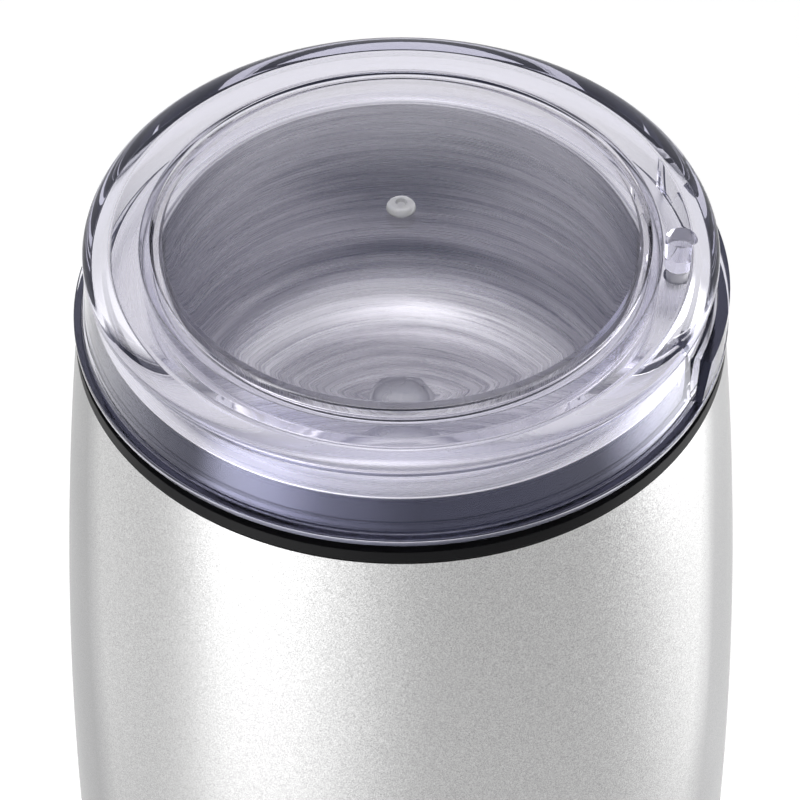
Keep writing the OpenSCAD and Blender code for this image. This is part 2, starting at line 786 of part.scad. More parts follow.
module blade() {
    color("silver") difference() {
        union() {
            post(blade_w / 2 + blade_hub, blade_z, blade_z + blade_t);
            blade_arm(blade_bend_a);
            rotate(180) blade_arm(blade_bend_b);
        }
        post(shaft_r + fit_gap, blade_z - cut, blade_z + blade_t + cut);
    }
}

module blade_washer() {
    color("gainsboro") ring(shaft_r + fit_gap, nut_flats / 2 + 1.2, washer_z, washer_z + washer_t);
}

module blade_nut() {
    color("silver") difference() {
        union() {
            translate([0, 0, nut_z]) cylinder(d = nut_flats / cos(30), h = nut_h, $fn = 6);
            translate([0, 0, nut_z + nut_h - eps])
                cylinder(r1 = nut_flats / 2 - 0.3, r2 = nut_flats / 2 - 2, h = nut_cap_h);
        }
        post(shaft_r + fit_gap, nut_z - cut, nut_z + nut_h + eps);
    }
}

module motor_shaft() {
    color("lightgray") {
        post(shaft_r, shaft_bottom_z + 0.5, shaft_top_z - 0.2);
        translate([0, 0, shaft_bottom_z]) cylinder(r1 = shaft_r - 0.5, r2 = shaft_r, h = 0.5);
    }
}

// ---- motor ----

module armature_core() {
    color("dimgray") difference() {
        post(armature_r, stack_z + 0.5, stack_top_z - 0.5);
        post(shaft_r + fit_gap, stack_z - cut, stack_top_z + cut);
        for (i = [0 : slot_count - 1]) rotate(360 * i / slot_count)
            box([slot_bottom_r, -slot_w / 2, stack_z - cut],
                [armature_r + cut, slot_w / 2, stack_top_z + cut]);
    }
}

module armature_winding() {
    bar_w = slot_w - 0.4;
    outer_r = armature_r - 1.4;
    color("orangered") {
        for (i = [0 : slot_count - 1]) rotate(360 * i / slot_count)
            box([slot_bottom_r + 0.3, -bar_w / 2, stack_z - 1], [outer_r, bar_w / 2, stack_top_z + 1]);
        for (z = [[stack_z + 0.2, -1], [stack_top_z - 0.2, 1]]) rotate_extrude() polygon([
            [shaft_r + 1.2, z[0]], [outer_r, z[0]],
            [outer_r, z[0] + z[1] * (winding_overhang - 2.5)],
            [outer_r - 2.5, z[0] + z[1] * winding_overhang],
            [shaft_r + 1.2, z[0] + z[1] * (winding_overhang - 0.5)]]);
    }
}

module commutator() {
    color("peru") difference() {
        union() {
            post(commutator_r, commutator_z, commutator_top_z);
            post(commutator_r + 0.5, commutator_top_z - 1.6, commutator_top_z);
        }
        post(shaft_r + fit_gap, commutator_z - cut, commutator_top_z + cut);
        for (i = [0 : commutator_bars - 1]) rotate(360 * i / commutator_bars)
            box([commutator_r - 0.6, -0.2, commutator_z - cut],
                [commutator_r + 2, 0.2, commutator_top_z + cut]);
    }
}

module cooling_fan() {
    color([0.1, 0.1, 0.1]) difference() {
        union() {
            post(shaft_r + 3, fan_z, fan_top_z);
            post(fan_r, fan_top_z - 1, fan_top_z);
            for (i = [0 : fan_blades - 1]) rotate(360 * i / fan_blades)
                box([shaft_r + 2, -0.5, fan_z], [fan_r - 0.5, 0.5, fan_top_z - 0.5]);
        }
        post(shaft_r + fit_gap, fan_z - cut, fan_top_z + cut);
    }
}

module bearing(z0, z1) {
    color("darkgoldenrod") ring(shaft_r + fit_gap, bearing_r - fit_gap, z0, z1);
}

module upper_bearing() {
    bearing(bracket_z + 0.5, bracket_top_z + upper_boss_rise - 1);
}

module lower_bearing() {
    bearing(lower_z - lower_boss_drop + 0.5, lower_top_z + lower_boss_rise - 0.5);
}

// Outline of both motor brackets
module bracket_plate(z0, z1) {
    translate([0, 0, z0]) linear_extrude(z1 - z0) difference() {
        round_rect(stack_w, stack_d, 4);
        for (s = [-1, 1]) translate([s * (stack_w / 2), 0]) circle(r = 8);
    }
}

module upper_bracket() {
    color("darkgray") difference() {
        union() {
            bracket_plate(bracket_z, bracket_top_z);
            post(boss_r, bracket_z - upper_boss_drop, bracket_top_z + upper_boss_rise);
            at_four(post_x, post_y) post(post_r, stack_top_z, bracket_top_z, $fn = small_fn);
        }
        post(bearing_r, bracket_z, bracket_top_z + upper_boss_rise + cut);
        post(shaft_r + part_gap, bracket_z - upper_boss_drop - cut, bracket_z + cut);
        at_four(post_x, post_y) post(bolt_hole_r, stack_top_z - cut, bracket_top_z - 1, $fn = small_fn);
        at_four(mount_x, mount_y) post(bolt_hole_r, bracket_z - cut, bracket_top_z + cut, $fn = small_fn);
    }
}

module lower_bracket() {
    color("darkgray") difference() {
        union() {
            bracket_plate(lower_z, lower_top_z);
            post(boss_r, lower_z - lower_boss_drop, lower_top_z + lower_boss_rise);
            at_four(post_x, post_y) post(post_r, lower_z, stack_z, $fn = small_fn);
            for (s = [-1, 1]) box([s > 0 ? holder_x0 + 1 : -holder_x1 + 1.5, -3.5, lower_z],
                [s > 0 ? holder_x1 - 1.5 : -holder_x0 - 1, 3.5, holder_z0]);
        }
        post(bearing_r, lower_z - lower_boss_drop, lower_top_z + lower_boss_rise + cut);
        post(shaft_r + part_gap, lower_z - lower_boss_drop - cut, lower_z);
        at_four(post_x, post_y) post(bolt_hole_r, lower_z - cut, stack_z + cut, $fn = small_fn);
    }
}

module stator_core() {
    color("slategray") translate([0, 0, stack_z]) linear_extrude(stack_l) difference() {
        round_rect(stack_w, stack_d, 4);
        circle(r = pole_bore_r);
        square([2 * (pole_bore_r + 2.4), 15], center = true);
        for (sx = [-1, 1], sy = [-1, 1])
            translate([sx * (coil_w / 2 + coil_build / 2), sy * (coil_y + coil_t / 2)])
                square([coil_build + 1.2, coil_t + 0.8], center = true);
        for (sx = [-1, 1], sy = [-1, 1]) translate([sx * post_x, sy * post_y])
            circle(r = bolt_hole_r, $fn = small_fn);
    }
}

module field_coils() {
    inner_h = stack_l + 1;
    outer_h = stack_l + 2 * coil_overhang;
    color("chocolate") for (s = [-1, 1])
        translate([0, s * coil_y + (s > 0 ? coil_t : 0), stack_mid_z]) rotate([90, 0, 0])
            linear_extrude(coil_t) difference() {
                round_rect(coil_w + 2 * coil_build - 0.6, outer_h, 3);
                square([coil_w + 0.2, inner_h], center = true);
            }
}

module motor_bolts() {
    color("silver") at_four(post_x, post_y) {
        post(bolt_head_r, lower_z - bolt_head_h, lower_z, $fn = small_fn);
        post(bolt_r, lower_z - eps, bracket_top_z - 1.5, $fn = small_fn);
    }
}

module motor_mounts() {
    color([0.2, 0.2, 0.22]) at_four(mount_x, mount_y)
        ring(bolt_r + 0.2, mount_d / 2, bracket_top_z, deck_z, $fn = small_fn);
}

module mount_screws() {
    color("silver") at_four(mount_x, mount_y) {
        post(bolt_head_r + 0.4, deck_top_z, deck_top_z + bolt_head_h, $fn = small_fn);
        post(bolt_r, bracket_z - 1.5, deck_top_z + eps, $fn = small_fn);
    }
}

// ---- brushes ----

module at_brushes() {
    for (a = [0, 180]) rotate(a) translate([0, 0, brush_z]) children();
}

module brush_holders() {
    w = brush_w / 2 + seat_gap;
    h = brush_h / 2 + seat_gap;
    color("saddlebrown") at_brushes() difference() {
        box([holder_x0, -w - holder_wall, -h - holder_wall], [holder_x1, w + holder_wall, h + holder_wall]);
        box([holder_x0 - cut, -w, -h], [holder_x1 + cut, w, h]);
    }
}

module brushes() {
    color([0.16, 0.16, 0.18]) at_brushes()
        box([brush_x0, -brush_w / 2, -brush_h / 2], [brush_x1, brush_w / 2, brush_h / 2]);
}

module brush_springs() {
    low = brush_x1 + brush_wire_d / 2 + eps;
    high = holder_x1 - brush_wire_d / 2 - eps;
    color("silver") at_brushes() rotate([0, 90, 0])
        sweep(helix(brush_spring_r, low, high, 4, 14), brush_wire_d / 2, 6, [0, 0, 1]);
}

module brush_caps() {
    w = brush_w / 2 + holder_wall;
    h = brush_h / 2 + holder_wall;
    color("gold") at_brushes() {
        box([holder_x1, -w, -h], [holder_x1 + cap_t, w, h]);
        box([holder_x1 + cap_t - eps, -1.5, -0.4], [holder_x1 + cap_t + cap_tab_l, 1.5, 0.4]);
    }
}

// ---- push rod and microswitch ----

module push_rod() {
    color("white") translate([rod_x, 0, 0]) {
        post(rod_r, rod_bottom_z, rod_top_z - 0.4);
        translate([0, 0, rod_top_z - 0.4]) cylinder(r1 = rod_r, r2 = rod_r - 0.4, h = 0.4);
        post(rod_stop_r, rod_stop_z, rod_stop_z + rod_stop_t);
    }
}

module rod_spring() {
    color("silver") translate([rod_x, 0, 0])
        sweep(helix(spring_r, spring_z0, spring_z1, spring_turns, 18), spring_wire_d / 2, 8, [0, 0, 1]);
}

module switch_case() {
    ear_x = lever_w / 2 + part_gap + lever_ear_t / 2;
    color([0.75, 0.12, 0.1]) difference() {
        union() {
            box([switch_x0, -switch_w / 2, switch_z0], [switch_x0 + switch_t, switch_w / 2, switch_z1]);
            for (s = [-1, 1]) translate([rod_x + s * ear_x, lever_pivot_y, lever_z]) rotate([0, 90, 0])
                cylinder(r = lever_ear_r, h = lever_ear_t, center = true, $fn = small_fn);
        }
        translate([rod_x, lever_pivot_y, lever_z]) rotate([0, 90, 0])
            cylinder(r = pivot_r + seat_gap, h = 2 * switch_t, center = true, $fn = small_fn);
        translate([rod_x, plunger_y, 0])
            post(plunger_r + seat_gap, switch_z1 - plunger_in - 1.5, switch_z1 + cut, $fn = small_fn);
        for (s = [-1, 1]) translate([switch_x0 - cut, s * switch_screw_y, switch_screw_z])
            rotate([0, 90, 0])
                cylinder(r = switch_screw_r + seat_gap, h = switch_t + 2 * cut, $fn = small_fn);
    }
}

module switch_plunger() {
    color("ivory") translate([rod_x, plunger_y, 0])
        post(plunger_r, switch_z1 - plunger_in, plunger_z1, $fn = small_fn);
}

module switch_lever() {
    pin_l = lever_w + 2 * part_gap + 2 * lever_ear_t;
    color("lightgray") translate([rod_x, lever_pivot_y, lever_z]) {
        rotate([lever_angle, 0, 0])
            box([-lever_w / 2, 0, -lever_t / 2], [lever_w / 2, lever_tip_y - lever_pivot_y, lever_t / 2]);
        rotate([0, 90, 0]) cylinder(r = pivot_r, h = pin_l, center = true, $fn = small_fn);
    }
}

module switch_screws() {
    x0 = tab_plate_x - 0.5;
    x1 = switch_x0 + switch_t;
    color("silver") for (s = [-1, 1]) translate([0, s * switch_screw_y, switch_screw_z])
        rotate([0, 90, 0]) {
            post(switch_screw_r, x0, x1 + eps, $fn = small_fn);
            post(switch_head_r, x1, x1 + switch_head_h, $fn = small_fn);
        }
}

module switch_tabs() {
    color("gold") for (s = [-1, 1])
        box([rod_x - tab_t / 2, s * tab_y - tab_w / 2, switch_z0 - tab_l],
            [rod_x + tab_t / 2, s * tab_y + tab_w / 2, switch_z0]);
}

// ---- leads inside the housing, through points picked by hand ----

block_hole_z = floor_top_z + block_hole;
tab_end_z = switch_z0 - tab_l - part_gap;
brush_end_x = holder_x1 + cap_t + cap_tab_l + part_gap;
lead_run = 5;
live_route = [[block_pole, block_y - part_gap, block_hole_z],
    [block_pole, block_y - lead_run, block_hole_z],
    [16, 14, 14], [30, 10, 30], [37, tab_y, 60],
    [rod_x, tab_y, tab_end_z - lead_run], [rod_x, tab_y, tab_end_z]];
switch_route = [[rod_x, -tab_y, tab_end_z], [rod_x, -tab_y, tab_end_z - lead_run], [39, -5, brush_z + 12],
    [37, -2, brush_z + 2], [brush_end_x + lead_run, 0, brush_z], [brush_end_x, 0, brush_z]];
neutral_route = [[-block_pole, block_y - part_gap, block_hole_z],
    [-block_pole, block_y - lead_run, block_hole_z],
    [-18, 14, 14], [-34, 6, 30], [-37, 1, brush_z - 10], [-brush_end_x - lead_run, 0, brush_z - 1],
    [-brush_end_x, 0, brush_z]];

module live_lead() {
    color("brown") sweep(curve(live_route, 6), lead_r, 8, [1, 0, 0]);
}

module switch_lead() {
    color("brown") sweep(curve(switch_route, 6), lead_r, 8, [0, 1, 0]);
}

module neutral_lead() {
    color("blue") sweep(curve(neutral_route, 6), lead_r, 8, [1, 0, 0]);
}

lid();
collar();
bowl();
bowl_gasket();
body_shell();
base_plate();
feet();
base_screws();
cord_bush();
blade();
blade_spacer();
blade_washer();
blade_nut();
motor_shaft();
armature_core();
armature_winding();
commutator();
cooling_fan();
shaft_seal();
upper_bearing();
lower_bearing();
upper_bracket();
lower_bracket();
stator_core();
field_coils();
motor_bolts();
motor_mounts();
mount_screws();
brush_holders();
brushes();
brush_springs();
brush_caps();
push_rod();
rod_spring();
switch_case();
switch_plunger();
switch_lever();
switch_screws();
switch_tabs();
circuit_board();
capacitor();
board_screws();
terminal_block();
live_lead();
switch_lead();
neutral_lead();
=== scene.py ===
# %% [markdown]
# # Electric spice grinder
# A press-down grinder stands on four feet, with its front towards -Y. Its solids come packed as a fixed
# frame, so every piece made here goes where the frame says. The outer pieces are made again with finer,
# rounder meshes. The inner ones keep their solids and get better finishes.

# %% Load the frame
import json
import math

import bmesh
import bpy
from mathutils import Matrix, Vector


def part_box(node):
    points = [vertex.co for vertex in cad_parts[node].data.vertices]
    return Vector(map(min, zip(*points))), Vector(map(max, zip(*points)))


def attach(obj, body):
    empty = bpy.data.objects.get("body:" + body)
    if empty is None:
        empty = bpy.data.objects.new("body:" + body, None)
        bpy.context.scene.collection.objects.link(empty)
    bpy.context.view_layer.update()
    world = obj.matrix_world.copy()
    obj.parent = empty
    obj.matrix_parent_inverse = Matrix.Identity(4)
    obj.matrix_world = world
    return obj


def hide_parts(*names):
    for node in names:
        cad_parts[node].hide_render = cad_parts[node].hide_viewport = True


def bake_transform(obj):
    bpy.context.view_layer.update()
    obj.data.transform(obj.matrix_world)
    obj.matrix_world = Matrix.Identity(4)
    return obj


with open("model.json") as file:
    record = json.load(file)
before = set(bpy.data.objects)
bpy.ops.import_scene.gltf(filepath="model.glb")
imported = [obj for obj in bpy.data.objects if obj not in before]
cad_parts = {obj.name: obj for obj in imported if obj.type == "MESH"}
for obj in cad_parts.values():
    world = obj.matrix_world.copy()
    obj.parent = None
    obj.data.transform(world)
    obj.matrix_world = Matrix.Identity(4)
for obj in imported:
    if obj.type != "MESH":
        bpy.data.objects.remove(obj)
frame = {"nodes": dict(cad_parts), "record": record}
nodes = frame["nodes"]
scene = bpy.context.scene
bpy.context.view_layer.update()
MM = 0.001

# %% [markdown]
# ## Node trees
# Materials and geometry trees are both built from nodes, so one small helper serves them all. It adds a
# node, sets its settings, and gives each input either a value or a link from another node.

# %% Helpers for every node tree
def add(tree, kind, inputs=None, **settings):
    node = tree.nodes.new(kind)
    for key, value in settings.items():
        setattr(node, key, value)
    for key, value in (inputs or {}).items():
        if isinstance(value, bpy.types.NodeSocket):
            tree.links.new(value, node.inputs[key])
        else:
            node.inputs[key].default_value = value
    return node


def maths(tree, operation, a, b=0.0, clamp=False):
    return add(tree, "ShaderNodeMath", {0: a, 1: b}, operation=operation, use_clamp=clamp).outputs[0]


def spread(tree, value, low, high, start=0.3, end=0.7):
    """Maps a value between start and end to low and high, and holds it there."""
    return add(tree, "ShaderNodeMapRange", {0: value, 1: start, 2: end, 3: low, 4: high}).outputs[0]


def mixed(tree, mask, a, b):
    """A colour that goes from a to b with the mask."""
    a, b = ((*c, 1) if isinstance(c, tuple) else c for c in (a, b))
    return add(tree, "ShaderNodeMix", {0: mask, 6: a, 7: b}, data_type="RGBA").outputs[2]


def split(tree, vector):
    """The x, y and z of a vector."""
    return add(tree, "ShaderNodeSeparateXYZ", {0: vector}).outputs


def joined(tree, x, y, z=0.0):
    return add(tree, "ShaderNodeCombineXYZ", {0: x, 1: y, 2: z}).outputs[0]


def vectors(tree, operation, a, b=(0, 0, 0)):
    """Vector arithmetic. Length and dot product come out as a value, the rest as a vector."""
    second = {"Scale": b} if operation == "SCALE" else {1: b}
    node = add(tree, "ShaderNodeVectorMath", {0: a, **second}, operation=operation)
    return node.outputs["Value" if operation in ("LENGTH", "DOT_PRODUCT") else "Vector"]


def times(tree, first, *others):
    """The product of several values."""
    for other in others:
        first = maths(tree, "MULTIPLY", first, other)
    return first


def noise(tree, place, scale, detail):
    inputs = {"Vector": place, "Scale": scale, "Detail": detail}
    return add(tree, "ShaderNodeTexNoise", inputs).outputs[0]


def object_place(tree):
    """Where a point lies in the piece's own coordinates."""
    return add(tree, "ShaderNodeTexCoord").outputs["Object"]


def new_tree(kind, name, inputs, outputs):
    """A node group with named inputs and outputs, each a (name, socket kind, default value)."""
    tree = bpy.data.node_groups.new(name, kind)
    for side, sockets in (("INPUT", inputs), ("OUTPUT", outputs)):
        for label, socket_kind, *value in sockets:
            socket = tree.interface.new_socket(label, in_out=side,
                                               socket_type="NodeSocket" + socket_kind)
            if value:
                socket.default_value = value[0]
    return tree, tree.nodes.new("NodeGroupInput").outputs, tree.nodes.new("NodeGroupOutput").inputs


# %% [markdown]
# ## Shader groups
# Wear, grain, smudges and brushing turn up on many finishes, each at its own scale. Each effect is one
# group with named inputs, so a finish only chooses its numbers. All read the object's own coordinates,
# in metres, so a scale of 1000 gives details of about a millimetre.

# %% Edge wear
def make_edge_wear():
    """The Bevel node gives a rounded edge's normal. Where it leaves the true one, there is an edge."""
    tree, given, made = new_tree(
        "ShaderNodeTree", "edge_wear",
        [("Radius", "Float", 0.0003), ("Scale", "Float", 400.0), ("Amount", "Float", 0.5)],
        [("Mask", "Float"), ("Normal", "Vector")])
    soft = add(tree, "ShaderNodeBevel", {"Radius": given["Radius"]}, samples=4).outputs[0]
    true = add(tree, "ShaderNodeNewGeometry").outputs["Normal"]
    unlike = maths(tree, "SUBTRACT", 1.0, vectors(tree, "DOT_PRODUCT", soft, true), True)
    edge = maths(tree, "MULTIPLY", unlike, 4.0, True)
    worn = times(tree, edge, noise(tree, object_place(tree), given["Scale"], 4.0))
    tree.links.new(maths(tree, "MULTIPLY", worn, given["Amount"], True), made["Mask"])
    tree.links.new(soft, made["Normal"])
    return tree


# %% Grain and flakes
def make_grain():
    """The fine skin of a moulded or plated surface: a height for bumps and a tone per speck."""
    tree, given, made = new_tree("ShaderNodeTree", "grain", [("Scale", "Float", 2000.0)],
                                 [("Height", "Float"), ("Speck", "Float")])
    place = object_place(tree)
    finer = times(tree, given["Scale"], 1.7)
    specks = add(tree, "ShaderNodeTexVoronoi", {"Vector": place, "Scale": finer}).outputs["Color"]
    tree.links.new(noise(tree, place, given["Scale"], 3.0), made["Height"])
    tree.links.new(add(tree, "ShaderNodeSeparateColor", {0: specks}).outputs[0], made["Speck"])
    return tree


def make_flakes():
    """Metal flakes in paint: every cell has its own tone, and its own small tilt of the normal."""
    tree, given, made = new_tree("ShaderNodeTree", "flakes",
                                 [("Scale", "Float", 9500.0), ("Tilt", "Float", 0.2)],
                                 [("Tone", "Float"), ("Normal", "Vector")])
    cells = add(tree, "ShaderNodeTexVoronoi", {"Vector": object_place(tree), "Scale": given["Scale"]})
    colour = cells.outputs["Color"]
    centred = vectors(tree, "SUBTRACT", colour, (0.5, 0.5, 0.5))
    tilt = vectors(tree, "SCALE", centred, given["Tilt"])
    true = add(tree, "ShaderNodeNewGeometry").outputs["Normal"]
    leaning = vectors(tree, "ADD", true, tilt)
    tree.links.new(add(tree, "ShaderNodeSeparateColor", {0: colour}).outputs[1], made["Tone"])
    tree.links.new(vectors(tree, "NORMALIZE", leaning), made["Normal"])
    return tree


# %% Smudges, sheets and turned lines
def make_smudges():
    """Broad soft patches that make a gloss uneven."""
    tree, given, made = new_tree(
        "ShaderNodeTree", "smudges",
        [("Scale", "Float", 40.0), ("Low", "Float", 0.3), ("High", "Float", 0.4)], [("Value", "Float")])
    patches = noise(tree, object_place(tree), given["Scale"], 5.0)
    tree.links.new(spread(tree, patches, given["Low"], given["High"], 0.35, 0.65), made["Value"])
    return tree


def make_sheets():
    """Thin sheets stacked along Z, as in a motor's iron."""
    tree, given, made = new_tree("ShaderNodeTree", "sheets", [("Thickness", "Float", 0.0005)],
                                 [("Height", "Float")])
    count = maths(tree, "DIVIDE", split(tree, object_place(tree))[2], given["Thickness"])
    wave = maths(tree, "SINE", times(tree, count, 2 * math.pi))
    tree.links.new(spread(tree, wave, 0.0, 1.0, -1.0, -0.6), made["Height"])
    return tree


def make_turned_lines():
    """Brushing round the axis: noise that is long along the turn, and fine in radius and height."""
    tree, given, made = new_tree("ShaderNodeTree", "turned_lines",
                                 [("Across", "Float", 2600.0), ("Along", "Float", 1.0)],
                                 [("Height", "Float"), ("Streak", "Float"), ("Band", "Float")])
    x, y, z = split(tree, object_place(tree))
    flat = joined(tree, x, y)
    radius = vectors(tree, "LENGTH", flat)
    outward = vectors(tree, "NORMALIZE", flat)
    u, v, _ = split(tree, vectors(tree, "SCALE", outward, given["Along"]))
    run = times(tree, maths(tree, "ADD", radius, z), given["Across"])
    for label, share in (("Height", 1.0), ("Streak", 0.8), ("Band", 0.2)):
        line = joined(tree, u, v, times(tree, run, share))
        tree.links.new(noise(tree, line, 1.0, 3.0), made[label])
    return tree


groups = {tree.name: tree for tree in (make_edge_wear(), make_grain(), make_flakes(), make_smudges(),
                                       make_sheets(), make_turned_lines())}
print("shader groups:", ", ".join(groups))

# %% [markdown]
# ## Finishes
# Each finish is a Principled material. What is the same all over, such as the metalness, is a plain
# number on the shader. Only what changes over the surface is linked.

# %% Helpers that the finishes share
finish = {}


def new_finish(slot, **constants):
    """A new material with the shader's plain numbers set. Names use _ for a space."""
    material = bpy.data.materials.new(slot)
    material.use_nodes = True
    shader = material.node_tree.nodes["Principled BSDF"]
    for key, value in constants.items():
        shader.inputs[key.replace("_", " ")].default_value = value
    finish[slot] = material
    return material.node_tree, shader.inputs


def group(tree, name, **inputs):
    """Places one of the shader groups, and gives its outputs."""
    return add(tree, "ShaderNodeGroup", inputs, node_tree=groups[name]).outputs


def bump(tree, height, distance, normal=None):
    inputs = {"Height": height, "Distance": distance * MM, "Strength": 1.0}
    if normal:
        inputs["Normal"] = normal
    return add(tree, "ShaderNodeBump", inputs).outputs[0]


# %% [markdown]
# ### Moulded plastic and rubber
# A satin moulding has a fine spark-eroded grain, a slightly uneven gloss, and edges that go lighter
# where they are rubbed. Rubber is the same with a coarser, duller skin.

# %% Moulded finishes
def moulded(slot, colour, worn, rough, grain, depth, specular=0.5):
    tree, shader = new_finish(slot, Specular_IOR_Level=specular)
    skin = group(tree, "grain", Scale=grain)
    edges = group(tree, "edge_wear", Radius=0.25 * MM, Scale=350.0, Amount=0.6)
    pale = maths(tree, "ADD", edges["Mask"], times(tree, skin["Speck"], 0.12), True)
    tree.links.new(mixed(tree, pale, colour, worn), shader["Base Color"])
    gloss = group(tree, "smudges", Scale=55.0, Low=rough - 0.05, High=rough + 0.06)
    tree.links.new(gloss["Value"], shader["Roughness"])
    tree.links.new(bump(tree, skin["Height"], depth, edges["Normal"]), shader["Normal"])


moulded("black_plastic", (0.003, 0.003, 0.0035), (0.009, 0.009, 0.010), 0.45, 1800.0, 0.010, 0.05)
moulded("white_plastic", (0.74, 0.74, 0.71), (0.85, 0.85, 0.83), 0.42, 1500.0, 0.010)
moulded("red_plastic", (0.42, 0.04, 0.03), (0.6, 0.16, 0.12), 0.40, 1500.0, 0.010)
moulded("brown_plastic", (0.12, 0.055, 0.025), (0.25, 0.14, 0.08), 0.45, 1300.0, 0.020)
moulded("yellow_plastic", (0.68, 0.46, 0.06), (0.8, 0.62, 0.2), 0.25, 1400.0, 0.006)
moulded("carbon", (0.03, 0.03, 0.033), (0.09, 0.09, 0.1), 0.60, 900.0, 0.030)
moulded("board_green", (0.02, 0.16, 0.07), (0.1, 0.3, 0.16), 0.30, 700.0, 0.010)
moulded("black_rubber", (0.018, 0.018, 0.018), (0.06, 0.06, 0.06), 0.72, 900.0, 0.030)
moulded("grey_rubber", (0.16, 0.16, 0.17), (0.28, 0.28, 0.29), 0.70, 900.0, 0.030)
moulded("brown_lead", (0.11, 0.045, 0.02), (0.2, 0.1, 0.06), 0.45, 900.0, 0.010)
moulded("blue_lead", (0.03, 0.08, 0.3), (0.12, 0.18, 0.42), 0.45, 900.0, 0.010)
print("moulded finishes:", len(finish))

# %% [markdown]
# ### Silver metallic paint
# The paint holds fine aluminium flakes under a clear coat. Each flake has its own tone and tilt, so it
# catches the light by itself. Seen at a glancing angle the flakes hide behind each other, and the paint
# turns darker, so the colour also follows the angle of view. A clear coat on top gives the crisp gloss.

# %% Silver paint
FLAKES = 9500.0                                  # to the metre
tree, shader = new_finish("silver_paint", Metallic=0.92, Coat_Weight=0.25, Coat_Roughness=0.08)
flakes = group(tree, "flakes", Scale=FLAKES, Tilt=0.16)
edges = group(tree, "edge_wear", Radius=0.2 * MM, Scale=300.0, Amount=0.35)
glance = add(tree, "ShaderNodeLayerWeight", {"Blend": 0.5}).outputs["Facing"]
face_on = mixed(tree, flakes["Tone"], (0.26, 0.259, 0.259), (0.51, 0.509, 0.509))
turned_away = mixed(tree, spread(tree, glance, 0.0, 1.0, 0.69, 0.77), face_on, (0.225, 0.225, 0.228))
tree.links.new(mixed(tree, edges["Mask"], turned_away, (0.55, 0.55, 0.56)), shader["Base Color"])
tree.links.new(group(tree, "smudges", Scale=30.0, Low=0.36, High=0.41)["Value"], shader["Roughness"])
skin = group(tree, "grain", Scale=500.0)
tree.links.new(bump(tree, skin["Height"], 0.006, flakes["Normal"]), shader["Normal"])
print("silver paint has flakes of about", round(1000 / FLAKES, 2), "mm")

# %% [markdown]
# ### Brushed metals
# The bowl is brushed while it turns, so the lines run round the axis. The long narrow lines also stretch
# every highlight across them. The shader does that with its anisotropy, which needs to know the brushing
# direction: at each point it is the turning direction, square to the radius. A finish can have a radius
# beyond which its colour turns near white. On the bowl's flat rim this is painted light: it stands in for
# lamp light that the clear lid holds back.

# %% Brushed finishes
# Near white: painted light on the bowl's rim, in place of lamp light that the lid holds back.
RIM_PAINTED_LIGHT = (0.98, 0.975, 0.985)


def brushed(slot, colour, streak, rough, across, depth, anisotropic, rim=None):
    tree, shader = new_finish(slot, Metallic=1.0, Anisotropic=anisotropic)
    lines = group(tree, "turned_lines", Across=across, Along=1.0)
    tone = maths(tree, "ADD", times(tree, lines["Streak"], 0.6), times(tree, lines["Band"], 0.4))
    shade = mixed(tree, spread(tree, tone, 0.0, 1.0, 0.36, 0.64), colour, streak)
    tree.links.new(spread(tree, lines["Streak"], rough - 0.07, rough + 0.09), shader["Roughness"])
    tree.links.new(bump(tree, lines["Height"], depth), shader["Normal"])
    x, y, _ = split(tree, object_place(tree))
    if rim:
        radius = vectors(tree, "LENGTH", joined(tree, x, y))
        # Beyond the rim's radius the colour is painted light, near white in place of real lighting.
        shade = mixed(tree, spread(tree, radius, 0.0, 0.8, rim, rim + 0.3 * MM), shade, RIM_PAINTED_LIGHT)
    tree.links.new(shade, shader["Base Color"])
    turning = joined(tree, times(tree, y, -1.0), x)
    in_world = add(tree, "ShaderNodeVectorTransform", {0: turning}, vector_type="VECTOR",
                   convert_from="OBJECT", convert_to="WORLD").outputs[0]
    tree.links.new(in_world, shader["Tangent"])


# The bowl's rim gets painted light beyond this radius.
brushed("bowl_steel", (0.42, 0.41, 0.43), (0.9, 0.895, 0.91), 0.27, 3600.0, 0.007, 0.6, rim=35.4 * MM)
brushed("shaft_steel", (0.50, 0.50, 0.51), (0.62, 0.62, 0.63), 0.25, 4000.0, 0.002, 0.30)
brushed("copper_bars", (0.62, 0.26, 0.13), (0.78, 0.42, 0.24), 0.30, 3000.0, 0.002, 0.30)
brushed("bearing_bronze", (0.40, 0.26, 0.13), (0.55, 0.40, 0.22), 0.40, 2000.0, 0.004, 0.20)

# %% [markdown]
# ### Plated, cast, ground and wound metals
# These have no brushing, only a fine grain, bright worn edges and patches of more or less gloss. Motor
# iron is a stack of thin sheets, so its bumps are the joints between them.

# %% Plain metal finishes
def metal(slot, colour, worn, rough, grain=1600.0, depth=0.003, metallic=1.0, sheet=None):
    tree, shader = new_finish(slot, Metallic=metallic)
    skin = group(tree, "grain", Scale=grain)
    edges = group(tree, "edge_wear", Radius=0.2 * MM, Scale=300.0, Amount=0.8)
    pale = maths(tree, "ADD", edges["Mask"], times(tree, skin["Speck"], 0.35), True)
    tree.links.new(mixed(tree, pale, colour, worn), shader["Base Color"])
    gloss = group(tree, "smudges", Scale=90.0, Low=rough - 0.06, High=rough + 0.08)
    tree.links.new(gloss["Value"], shader["Roughness"])
    relief = group(tree, "sheets", Thickness=sheet * MM)["Height"] if sheet else skin["Height"]
    tree.links.new(bump(tree, relief, depth, edges["Normal"]), shader["Normal"])


